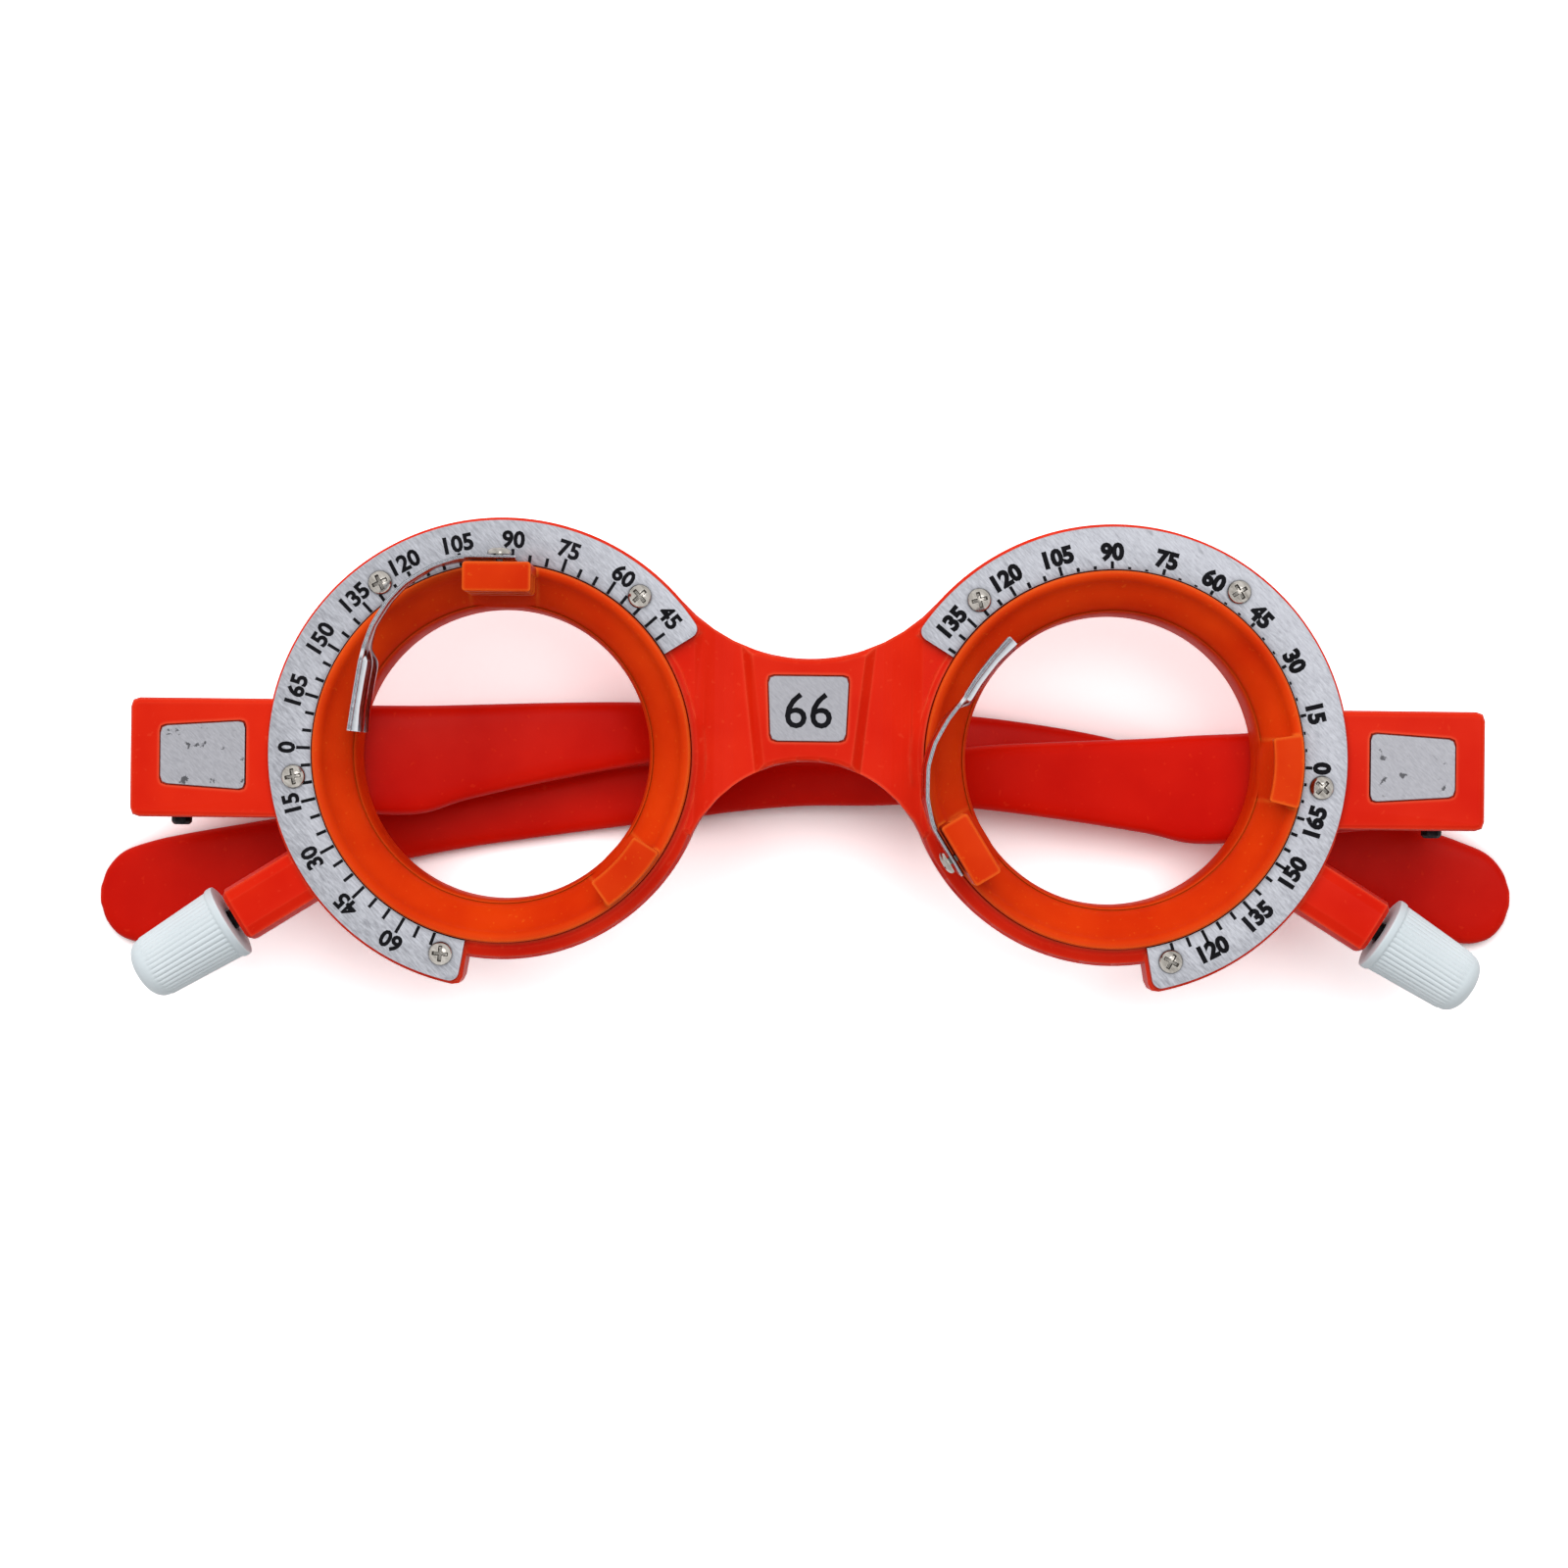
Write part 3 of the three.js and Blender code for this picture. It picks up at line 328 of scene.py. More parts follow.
def make_brushed_lines():
    """The place is turned about z and its x pressed to a fifth, so that noise on it makes lines."""
    tree, given, made = group("brushed lines", {"Size": 1.0}, ["Streak", "Scratch", "Height"])
    size = given.outputs["Size"]
    turned = add(tree, "ShaderNodeVectorRotate", {"Vector": object_place(tree), "Angle": BRUSHED_AT},
                 rotation_type="Z_AXIS").outputs[0]
    long = add(tree, "ShaderNodeVectorMath", {0: turned, 1: (0.2, 1.0, 1.0)},
               operation="MULTIPLY").outputs[0]
    streak = noise_of(tree, long, STREAKS, 3.0, 0.65, size=size)
    scratch = noise_of(tree, long, SCRATCHES, size=size)
    feed(tree, made, {"Streak": ramp_of(tree, streak, 0.32, 0.68),
                      "Scratch": ramp_of(tree, scratch, 0.66, 0.74), "Height": streak})
    return tree


def make_painted_edge_light_and_shade():
    """The edge mask, a painted highlight: how far the normal averaged over the width leans.
    The hollow mask, painted shade: what the reach finds covered.
    """
    tree, given, made = group("painted edge light and hollow shade", {"Width": 0.0003, "Reach": 0.0008}, ["Painted_Edge_Light", "Painted_Hollow_Shade"])
    rounded = add(tree, "ShaderNodeBevel", {"Radius": given.outputs["Width"]}, samples=4)
    plain = add(tree, "ShaderNodeNewGeometry").outputs["Normal"]
    alike = add(tree, "ShaderNodeVectorMath", {0: rounded.outputs[0], 1: plain}, operation="DOT_PRODUCT")
    open_share = add(tree, "ShaderNodeAmbientOcclusion", {"Distance": given.outputs["Reach"]}, samples=6)
    feed(tree, made, {"Painted_Edge_Light": ramp_of(tree, alike.outputs["Value"], 0.995, 0.86),
                      "Painted_Hollow_Shade": ramp_of(tree, open_share.outputs["AO"], 0.9, 0.35)})
    return tree


MOULDED_SKIN = make_moulded_skin()
BRUSHED_LINES = make_brushed_lines()
EDGE_LIGHT_AND_SHADE = make_painted_edge_light_and_shade()
print("node groups:", [tree.name for tree in bpy.data.node_groups])

# %% [markdown]
# ## Plastic, metal and ink
# Plastic is one Principled shader whose colour drifts between a deep and a bright tone. Metal takes
# its streaks from the brushed group. Colours are written as they are seen, in 0 to 255, and turned
# into the linear light that Blender mixes in.

# %% Materials
def seen(colour):
    """Linear light from a seen colour: c/12.92 below 0.04045, else ((c+0.055)/1.055)^2.4."""
    c = np.array(colour) / 255
    linear = np.where(c <= 0.04045, c / 12.92, ((c + 0.055) / 1.055) ** 2.4)
    return (*linear.tolist(), 1.0)


def shader_of(name, **values):
    """A material with one Principled shader and its plain values; a _ stands for a space."""
    material = bpy.data.materials.new(name)
    material.use_nodes = True
    shader = material.node_tree.nodes["Principled BSDF"]
    feed(material.node_tree, shader, {key.replace("_", " "): value for key, value in values.items()})
    return material, material.node_tree, shader


def use(tree, shared, **values):
    """The outputs of a shared group, placed in a material with these values."""
    return feed(tree, add(tree, "ShaderNodeGroup", node_tree=shared), values).outputs


def bump(tree, shader, height, strength, distance):
    """The height, at most the distance in metres, bends the shader's normal."""
    links = {"Height": height, "Strength": strength, "Distance": distance}
    feed(tree, shader, {"Normal": add(tree, "ShaderNodeBump", links).outputs[0]})


def dimmed(colour, share):
    """The colour times the share."""
    return (*[share * v for v in colour[:3]], 1.0)


MOULD_HIGHLIGHT_WIDTH, SHEET_HIGHLIGHT_WIDTH = 0.0006, 0.0002  # metres over which an edge gets its painted highlight, on plastic and on sheet metal
PEEL_DEPTH, LINE_DEPTH = 0.00002, 0.00001


def moulded(name, deep, bright, pale, rough, edge, size=1.0, peel=0.35, hollow=0.4, **more):
    """Colour: deep to bright by the clouds, towards half of deep in hollows (painted shade), towards pale
    on edges (painted highlight) and on dust specks. Roughness: up and down with clouds, duller under dust."""
    material, tree, shader = shader_of(name, **more)
    deep, bright, pale = seen(deep), seen(bright), seen(pale)
    skin = use(tree, MOULDED_SKIN, Size=size)
    corners = use(tree, EDGE_LIGHT_AND_SHADE, Width=MOULD_HIGHLIGHT_WIDTH)
    colour = blend_colours(tree, skin["Tone"], deep, bright)
    # Painted shade: in hollows the colour goes towards half of the deep tone.
    shade = math_of(tree, "MULTIPLY", corners["Painted_Hollow_Shade"], hollow)
    colour = blend_colours(tree, shade, colour, dimmed(deep, 0.5))
    # Painted highlight on edges, and real dust specks: both take the colour towards pale.
    light = math_of(tree, "MAXIMUM", math_of(tree, "MULTIPLY", corners["Painted_Edge_Light"], edge),
                    math_of(tree, "MULTIPLY", skin["Dust"], 0.16))
    dull = math_of(tree, "MULTIPLY", skin["Dust"], 0.25)
    base = ramp_of(tree, skin["Tone"], 0.0, 1.0, rough + 0.05, rough - 0.05)
    feed(tree, shader, {"Base Color": blend_colours(tree, light, colour, pale),
                        "Roughness": math_of(tree, "ADD", base, dull)})
    bump(tree, shader, skin["Height"], peel, PEEL_DEPTH)
    return material


def metal(name, dark, light, rough, size=1.0, depth=0.3, spread=0.08, flecks=0.0, hollow=0.8,
          reach=0.0008, highlight_colour=None, bends=None):
    """Colour: dark to light by the streaks, lighter on edges as a painted highlight, nearly black in
    hollows as painted shade and in flecks of wear. Bends are (a height, their spacing) in mm: a painted
    highlight lies in bands where the cosine of the height over the spacing is high.
    Roughness: up with the streaks and in scratches."""
    material, tree, shader = shader_of(name, Metallic=1.0)
    dark, light = seen(dark), seen(light)
    lines = use(tree, BRUSHED_LINES, Size=size)
    corners = use(tree, EDGE_LIGHT_AND_SHADE, Width=SHEET_HIGHLIGHT_WIDTH, Reach=reach)
    # Painted shade: hollows go nearly black, like the real flecks of wear.
    hollow_shade = math_of(tree, "MULTIPLY", corners["Painted_Hollow_Shade"], hollow)
    worn = noise_of(tree, object_place(tree), FLECKS, 4.0, 0.62)
    worn = math_of(tree, "MULTIPLY", ramp_of(tree, worn, 0.625, 0.66), flecks)
    colour = blend_colours(tree, lines["Streak"], dark, light)
    colour = blend_colours(tree, math_of(tree, "MAXIMUM", worn, hollow_shade), colour, dimmed(dark, 0.12))
    colour = blend_colours(tree, math_of(tree, "MULTIPLY", lines["Scratch"], 0.35), colour, dark)
    # Painted highlight: edges, and with bends level bands on the sheet, go towards the bright colour.
    edge_and_crest_highlight = math_of(tree, "MULTIPLY", corners["Painted_Edge_Light"], 1.0 if highlight_colour else 0.6)
    if bends:
        height = add(tree, "ShaderNodeSeparateXYZ", {0: object_place(tree)}).outputs["Z"]
        turns = math_of(tree, "MULTIPLY", math_of(tree, "SUBTRACT", height, bends[0] * MM),
                        2 * math.pi / (bends[1] * MM))
        bend = ramp_of(tree, math_of(tree, "COSINE", turns), 0.3, 0.95, 0.0, 0.85)
        edge_and_crest_highlight = math_of(tree, "MAXIMUM", edge_and_crest_highlight, bend)
    bright = seen(highlight_colour) if highlight_colour else dimmed(light, 1.15)
    base = ramp_of(tree, lines["Streak"], 0.0, 1.0, rough - spread, rough + spread)
    more = math_of(tree, "MULTIPLY", lines["Scratch"], 0.12)
    feed(tree, shader, {"Base Color": blend_colours(tree, edge_and_crest_highlight, colour, bright),
                        "Roughness": math_of(tree, "ADD", base, more)})
    bump(tree, shader, lines["Height"], depth, LINE_DEPTH)
    return material


DULL = {"Specular_IOR_Level": 0.07}
# The third colour of each plastic is its painted edge highlight, and the tint of its dust specks.
RED = moulded("red moulded plastic", (212, 26, 7), (228, 42, 14), (244, 94, 60), 0.34, 0.7, **DULL)
# The arms' red is the front's red made darker: painted shade for the arms lying deeper, under the front.
SHADED_ARM_RED = moulded("red arm plastic darkened as shade", (191, 13, 3), (207, 23, 6), (238, 74, 44), 0.34, 0.55, **DULL)
ORANGE = moulded("orange moulded plastic", (209, 45, 3), (225, 61, 6), (250, 136, 48), 0.42, 0.55,
                 size=1.4, peel=0.5, hollow=0.2, **DULL)
WHITE = moulded("white ribbed plastic", (206, 216, 221), (217, 226, 230), (234, 240, 242), 0.42, 0.5,
                peel=0.2, Specular_IOR_Level=0.3)
ALUMINIUM = metal("brushed aluminium", (150, 151, 158), (197, 199, 206), 0.44, size=2.0, depth=0.6)
SHEET = {"size": 3.0, "spread": 0.04}
PLATE = metal("plate aluminium", (156, 156, 162), (178, 178, 184), 0.5, **SHEET)
WORN_PLATE = metal("worn plate aluminium", (156, 156, 162), (182, 182, 188), 0.5, flecks=0.8, **SHEET)
NICKEL = metal("nickel plating", (150, 145, 138), (206, 201, 194), 0.16, size=0.6, depth=0.1, spread=0.04)
STEEL = {"size": 1.2, "depth": 0.05, "spread": 0.03}
# The leaf's dark tones stand in for darker surroundings it mirrors, a painted reflection. Its bright colour
# is a painted highlight on the edges and in bands at the heights of the pad's folds, one ridge pitch apart.
SPRING = metal("spring steel", (112, 114, 122), (146, 149, 157), 0.18, hollow=1.0, reach=0.0012,
               highlight_colour=(232, 235, 240), bends=(FACE_Z + PAD_MIDDLE, RIDGE_PITCH), **STEEL)
RETAINER = metal("retainer steel", (132, 134, 142), (172, 175, 182), 0.2, **STEEL)
BLACK = metal("blackened steel", (24, 23, 24), (46, 45, 47), 0.38, size=0.8, depth=0.2)
BRASS = metal("cut brass", (176, 140, 66), (206, 172, 96), 0.33, size=0.9)
INK = moulded("black ink", (14, 14, 16), (26, 26, 30), (60, 60, 66), 0.6, 0.0, size=2.0, hollow=0.0,
              Specular_IOR_Level=0.05)
print(len(bpy.data.materials), "materials")

# %% [markdown]
# ## The red moulding
# The front is one injection-moulded piece: two round housings, the bridge with its pad and hollows,
# two endpieces and two bosses. Its shape comes from the CAD frame with its many cuts, so a copy is
# merged, its round edges get finer chords, and a small bevel breaks every edge as the mould does.

# %% Softened copies
def finer_rounds(work, centre, reach, step=math.radians(12), cuts=3):
    """Chords of a circle about the centre become arcs: an edge whose two ends have the same radius
    and stand less than a step apart is cut in four, and its new points go out to that radius. The
    reach gives the two radii in mm between which this is done."""
    points = np.array([v.co[:2] for v in work.verts])
    radius = np.linalg.norm(points - centre, axis=1)
    turn = np.arctan2(*(points - centre).T[::-1])
    work.verts.index_update()
    ends = np.array([[v.index for v in e.verts] for e in work.edges])
    apart = np.abs((np.diff(turn[ends], axis=1)[:, 0] + np.pi) % (2 * np.pi) - np.pi)
    same = np.abs(np.diff(radius[ends], axis=1)[:, 0]) < 4e-6
    near = (radius[ends[:, 0]] > reach[0] * MM) & (radius[ends[:, 0]] < reach[1] * MM)
    chords = [e for e, ok in zip(list(work.edges), same & near & (apart > 0.02) & (apart < step)) if ok]
    middles = np.array([(np.array(e.verts[0].co) + np.array(e.verts[1].co)) / 2 for e in chords])
    goals = np.array([radius[e.verts[0].index] for e in chords])
    made = bmesh.ops.subdivide_edges(work, edges=chords, cuts=cuts, use_grid_fill=True)
    new = [v for v in made["geom_inner"] if isinstance(v, bmesh.types.BMVert)]
    here = np.array([v.co[:] for v in new])
    goal = goals[np.argmin(((here[:, None] - middles) ** 2).sum(axis=2), axis=1)][:, None]
    away = here[:, :2] - centre
    length = np.linalg.norm(away, axis=1, keepdims=True)
    moved = np.where(np.abs(length - goal) < 0.15 * MM, centre + away / length * goal, here[:, :2])
    for vert, place_now in zip(new, moved):
        vert.co[:2] = place_now


def softened(node, name, material, width, body, slot, segments=2, circles=(), angle=14):
    """A merged copy of a CAD node, worn in its place: doubles go, the circles get finer and every edge
    gets a round of the width."""
    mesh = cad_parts[node].data.copy()
    mesh.name = name
    work = bmesh.new()
    work.from_mesh(mesh)
    bmesh.ops.remove_doubles(work, verts=work.verts, dist=3e-6)
    bmesh.ops.dissolve_degenerate(work, edges=work.edges, dist=2e-6)
    for centre, reach in circles:
        finer_rounds(work, np.array(centre) * MM, reach)
    work.to_mesh(mesh)
    work.free()
    smooth(mesh, angle)
    obj = new_object(name, mesh, material)
    edges = obj.modifiers.new("moulded edge", "BEVEL")
    edges.limit_method = "ANGLE"
    edges.angle_limit = math.radians(angle)
    edges.width = width * MM
    edges.segments = segments
    edges.harden_normals = True
    return wear(obj, body, slot, node)


# The bridge's two long edges are arcs about points in its middle, 44 and 35.9 mm from the eye centres.
ARCS = [(0, EYE_Y + math.sqrt(44**2 - EYE_X**2)), (0, EYE_Y - math.sqrt(35.9**2 - EYE_X**2))]
ROUNDS = [((-EYE_X, EYE_Y), (17, 26)), ((EYE_X, EYE_Y), (17, 26)), (ARCS[0], (17, 20)), (ARCS[1], (12, 15))]
moulding = softened("front_frame", "front_moulding", RED, 0.25, "front", "red_plastic", circles=ROUNDS)
print("front moulding:", len(moulding.data.polygons), "faces before its bevel")

# %% [markdown]
# ## Dials and plates
# The dials are stamped from brushed sheet, so they need crisp but broken edges. The screws' heads will
# hide their four holes. The end plates and the bridge plate are small stamped pieces of like sheet.

# %% Dials and plates
DIAL_INNER, DIAL_THICK, DIAL_CORNER = 20.5, 1.0, 1.0
DIAL_START, DIAL_END = np.radians(32), np.radians(259.5)


def dial_grid(outer, steps=220):
    """A thin section (radius, height) with broken edges, carried from the dial's start to its end.
    Close to both, the outer edge comes in along a quarter circle, which rounds the corner."""
    corners = [(DIAL_INNER, -DIAL_THICK), (outer, -DIAL_THICK), (outer, 0), (DIAL_INNER, 0)]
    section = soften(corners, [0.05, 0.1, 0.12, 0.12])
    along, pull = ends_eased((DIAL_END - DIAL_START) / 2 * outer, DIAL_CORNER, steps, 9)
    turn, pull = (DIAL_START + DIAL_END) / 2 + along[:, None] / outer, pull[:, None]
    radius = np.minimum(section[:, 0], outer - pull - (outer - section[:, 0]).clip(0, 0.2))
    return points_of(radius * np.cos(turn), radius * np.sin(turn), section[:, 1])


DIAL_OUTER = (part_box("left_dial")[1].y - EYE_Y * MM) / MM
for side in SIDES:
    skin_piece(f"{side}_dial_plate", [(place(dial_grid(DIAL_OUTER), side), False, True)], ALUMINIUM,
               "front", "brushed_aluminium", f"{side}_dial")
    softened(f"{side}_end_plate", f"{side}_end_label", WORN_PLATE, 0.12, "front", "brushed_aluminium")
softened("bridge_plate", "bridge_label", PLATE, 0.12, "front", "brushed_aluminium")

# %% [markdown]
# ## The printed scales
# Every five degrees a tick starts at the dial's inner edge, and every fifteenth one is longer and
# has its angle. Angles count from 0 to 165 and then start again, because a lens turned half way
# round is the same lens. On the left dial the tops of the numbers face outwards all the way, and on
# the right one they face the eye below the zero. The real print drifts a little, in angle and in
# distance from the eye, and so does this one. The ink is a very thin layer on the metal.

# %% Ink on the dials
INK_HEIGHT = 0.012
LONG_TICK, SHORT_TICK, TICK_WIDTH = 22.1, 21.6, 0.34  # two outer ends, and a width
FIGURE_SIZE, FIGURE_FOOT, INWARD_FOOT = 2.45, 22.3, 24.1  # feet are distances from the eye centre


def ticks(angles, outer, width):
    """Thin slabs along the radius: inner to outer, half a width to each side, at every angle."""
    inner = np.full(len(angles), DIAL_INNER + 0.1)
    r, w = np.stack([inner, outer, outer, inner], axis=1), np.array([-1, -1, 1, 1]) * width / 2
    levels = [turned_by(points_of(r, w, z), angles[:, None]) for z in (0.002, INK_HEIGHT)]
    return np.stack(levels, axis=1)


def glyphs(text, size, weight):
    """The mesh of a line of figures as (points, faces), centred on its foot, in millimetres."""
    curve = bpy.data.curves.new(f"figures_{text}", "FONT")
    curve.body, curve.size, curve.align_x = text, size, "CENTER"
    curve.offset, curve.extrude = weight, INK_HEIGHT / 2
    curve.resolution_u = 3
    holder = new_object(curve.name, curve)
    bpy.context.view_layer.update()
    mesh = bpy.data.meshes.new_from_object(holder.evaluated_get(bpy.context.evaluated_depsgraph_get()))
    points = np.zeros(len(mesh.vertices) * 3)
    mesh.vertices.foreach_get("co", points)
    faces = [list(face.vertices) for face in mesh.polygons]
    bpy.data.objects.remove(holder)
    bpy.data.curves.remove(curve)
    bpy.data.meshes.remove(mesh)
    return points.reshape(-1, 3), faces


def ink_piece(name, parts):
    """Print on the front: one mesh from several (points in metres, faces) parts."""
    starts = np.cumsum([0] + [len(points) for points, _ in parts]).tolist()
    faces = [[start + i for i in face] for start, (_, some) in zip(starts, parts) for face in some]
    mesh = mesh_of(name, [points for points, _ in parts], faces, merge=1e-7)
    return wear(new_object(name, mesh, INK), "front", "black_steel")


BOX_FACES = [[0, 1, 2, 3], [7, 6, 5, 4], [0, 4, 5, 1], [1, 5, 6, 2], [2, 6, 7, 3], [3, 7, 4, 0]]
SCALES = {  # first and last tick, weight of the figures, and figures moved along to clear a screw
    "left": (40, 250, 0.09, {45: -2.5, 60: -1, 135: 1}),
    "right": (-70, 145, 0.14, {135: 3.8, 60: 1.2}),
}
DRIFTS = {  # at these angles the print is turned on by so many degrees and set in by so many mm
    "left": ([40, 75, 120, 180, 250], [-3.1, -2.9, -2.1, -1.0, 0.3], [-0.2, 0.05, 0.1, 0.0, -0.4]),
    "right": ([-70, -45, 0, 30, 60, 90, 110, 145], [-2.2, -2.0, -1.7, -0.6, 0.4, 1.2, 1.6, 1.7],
              [0.2, 0.45, 0.75, 1.0, 1.0, 0.7, 0.4, 0.1]),
}


def on_dial(points, side):
    """Metres in the frame from millimetres round an eye, without the mirroring: figures stay readable."""
    return (points + [-SIDES[side] * EYE_X, EYE_Y, FACE_Z]) * MM


for side, (first, last, weight, moved) in SCALES.items():
    degrees = np.arange(first, last + 1, 5)
    long = degrees % 15 == 0
    turned = degrees + np.interp(degrees, DRIFTS[side][0], DRIFTS[side][1])
    sunk = np.interp(degrees, DRIFTS[side][0], DRIFTS[side][2])
    ends = np.where(long, LONG_TICK, SHORT_TICK) - sunk + np.where(degrees < -15, 0.35, 0)
    slabs = ticks(np.radians(turned), np.maximum(ends, DIAL_INNER + 0.3), TICK_WIDTH)
    parts = [(on_dial(slab.reshape(8, 3), side), BOX_FACES) for slab in slabs]
    for angle, at, sink in zip(degrees, turned, sunk):
        if angle % 15 or not first + 3 < angle < last - 3:
            continue
        points, faces = glyphs(str(angle % 180), FIGURE_SIZE, weight)
        inward = side == "right" and angle < 0
        x, y = points[:, 0], points[:, 1] + (sink - INWARD_FOOT if inward else FIGURE_FOOT - sink)
        along = at + moved.get(int(angle), 0) + (90 if inward else -90)
        points = turned_by(points_of(x, y, points[:, 2] + INK_HEIGHT / 2), math.radians(along))
        parts.append((on_dial(points, side), faces))
    ink_piece(f"{side}_dial_print", parts)
    print(side, "dial:", len(degrees), "ticks and", len(parts) - len(degrees), "numbers")

plate_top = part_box("bridge_plate")[1].z / MM
points, faces = glyphs("66", size=5.45, weight=0.03)
ink_piece("bridge_print", [((points + [0, EYE_Y + 3.12, plate_top + INK_HEIGHT / 2]) * MM, faces)])

# %% [markdown]
# ## The turning lens rings
# Each ring is turned on a sleeve in the housing. From the front it shows a raised rim, the seat for
# the lens and a hollow side that narrows to the opening. Under the rim are 88 face teeth, which the
# pinion on the knob's shaft drives. Rim, seat, sleeve and teeth are one profile carried round: only
# the height of two profile points follows the teeth's wave.

# %% Ring bodies
TEETH, DRIVE = 88, math.radians(212)  # the drive is the way in which the knob's shaft points
TEETH_FROM, TEETH_TO, TOOTH_DEPTH = 18.42, 19.88, 0.92  # two radii, and a drop
TOOTH_FOOT, TOOTH_FLANK = 0.317, 0.243  # shares of the pitch: half a tooth at its foot, and one slope
UNDER = -1.726  # height of the rim's underside, from which the teeth hang
RING_CORNERS = [  # (radius, height, rounding)
    (15.8, -8.9, 0.2), (17.7, -8.9, 0.15), (17.7, -8.4, 0.05), (17.0, -8.4, 0.05), (17.0, -7.0, 0.05),
    (17.7, -7.0, 0.05), (17.7, UNDER, 0.05), (18.4, UNDER, 0), (TEETH_FROM, UNDER, 0), (TEETH_TO, UNDER, 0),
    (19.9, UNDER, 0), (20.2, UNDER, 0.1), (20.2, -0.6, 0.3), (20.4, -0.3, 0.3), (20.4, 0.7, 0.4),
    (19.6, 0.7, 0.6), (18.9, -0.35, 0.9), (17.2, -1.5, 0.9), (16.3, -2.6, 0.5),
]


def ring_grid():
    """The softened profile and the hollow side (a Bezier from the slope to the opening), all the way
    round. The points on the teeth's two radii drop by the depth times a wave: 0 between two teeth, 1
    on a tooth, and straight slopes from one to the other."""
    corners = np.array(RING_CORNERS)
    t = np.linspace(0, 1, 12)[1:, None]
    hollow = (1 - t) ** 2 * [16.3, -2.6] + 2 * t * (1 - t) * [15.8, -3.2] + t**2 * [15.8, -5.5]
    profile = np.vstack([soften(corners[:, :2], corners[:, 2]), hollow])
    grid = lathe(profile, TEETH * 8)
    phase = (np.arange(TEETH * 8) / (TEETH * 8) * TEETH - DRIVE * TEETH / (2 * np.pi) - 0.5) % 1
    wave = np.clip((TOOTH_FOOT - np.abs((phase + 0.5) % 1 - 0.5)) / TOOTH_FLANK, 0, 1)
    radius, height = profile.T
    toothed = np.isclose(height, UNDER) & (radius > TEETH_FROM - 0.01) & (radius < TEETH_TO + 0.01)
    grid[:, toothed, 2] -= TOOTH_DEPTH * wave[:, None]
    return grid


POCKET, POST_INNER = 19.25, 16.9  # radius of the lens pocket, and how far in the posts reach
TALL_OUTER, TALL_HALF, LOW_OUTER, LOW_HALF = 20.1, 3.6, 20.15, 3.3  # outer face, half of the width
# From the top down the tall post's inner side goes in and out by turns: three slots, 3.2 mm apart.
SLOT_HEIGHTS = [9.2, 8.1, 8.1, 6.0, 6.0, 4.9, 4.9, 2.8, 2.8, 1.7, 1.7, 0.3]
TALL_CORNERS = [(TALL_OUTER, 0.3), (TALL_OUTER, 9.2),
                *zip([POST_INNER, POST_INNER, POCKET, POCKET] * 3, SLOT_HEIGHTS)]
TALL_ROUNDS = [0, 0.3, 0.3, 0.15, 0.05, 0.05, 0.15, 0.15, 0.05, 0.05, 0.15, 0.15, 0.05, 0]


def tall_post(angle):
    """The tall post's profile (distance, height) carried over its width, pulled in at its two ends.
    The slots' back wall follows the lens pocket's circle."""
    y, pull = (part[:, None] for part in ends_eased(TALL_HALF, 0.4, 14))
    r, z = soften(TALL_CORNERS, TALL_ROUNDS).T[:, None, :]
    r = np.where(np.abs(r - POCKET) < 0.02, np.sqrt(POCKET**2 - y**2), r)
    return turned_by(points_of(np.clip(r, POST_INNER + pull, TALL_OUTER - pull), y, z), angle)


def low_post(angle):
    """The low post's profile carried along an arc of 23 degrees, pulled in at its two ends."""
    corners = [(LOW_OUTER, 0.3), (LOW_OUTER, 2.6), (POST_INNER, 2.6), (POST_INNER, 1.7), (POCKET, 1.7),
               (POCKET, 0.3)]
    r, z = soften(corners, [0, 0.25, 0.25, 0.15, 0.05, 0]).T[:, None, :]
    along, pull = (part[:, None] for part in ends_eased(4.0, 0.35, 16))
    turn, r = along / LOW_OUTER, np.clip(r, POST_INNER + pull, LOW_OUTER - pull)
    return turned_by(points_of(r * np.cos(turn), r * np.sin(turn), z), angle)


def foot(angle, half):
    """A post's foot: the ring's slope raised by a little, over the post's width, down to the opening."""
    corners = [(18.9, -0.1), (17.1, -1.3), (16.15, -2.5), (15.8, -3.3), (15.8, -5.3), (16.6, -5.3),
               (18.9, -1.5)]
    r, z = soften(corners, [0, 0.6, 0.4, 0.4, 0.05, 0, 0]).T[:, None, :]
    y = np.linspace(-half, half, 9)[:, None]
    return turned_by(points_of(r, y, z), angle)


# Where the tall and the low post of each ring stand.
POSTS = {"left": np.radians([90.0, 317.3]), "right": np.radians([-31.5, 183.0])}
for side, (tall_at, low_at) in POSTS.items():
    grids = [tall_post(tall_at), low_post(low_at), foot(tall_at, TALL_HALF), foot(low_at, LOW_HALF)]
    skins = [(place(ring_grid(), side), True, True)]
    skins += [(place(grid, side), False, True) for grid in grids]
    ring = skin_piece(f"{side}_turning_ring", skins, ORANGE, f"{side}_ring", "orange_plastic",
                      f"{side}_lens_ring")
    print(side, "ring:", len(ring.data.polygons), "faces,", TEETH, "teeth")

# %% [markdown]
# ## The spring clips
# A leaf of spring steel is screwed to the tall post, swings round inside the ring and presses the
# lenses with a pad whose ridges fit between them. The leaf is a strip standing on edge, so it is a
# path seen from above times a height. Across the height the strip is pressed with a crease, and
# towards the end the crease turns into the ridges.

# %% Clips
CLIP_REACH, CLIP_DISTANCE = math.radians(80), 20.6
CLIP_LOW, CLIP_TALL, CLIP_HALF = 1.8, 6.4, 0.2  # lower edge, height and half of the thickness
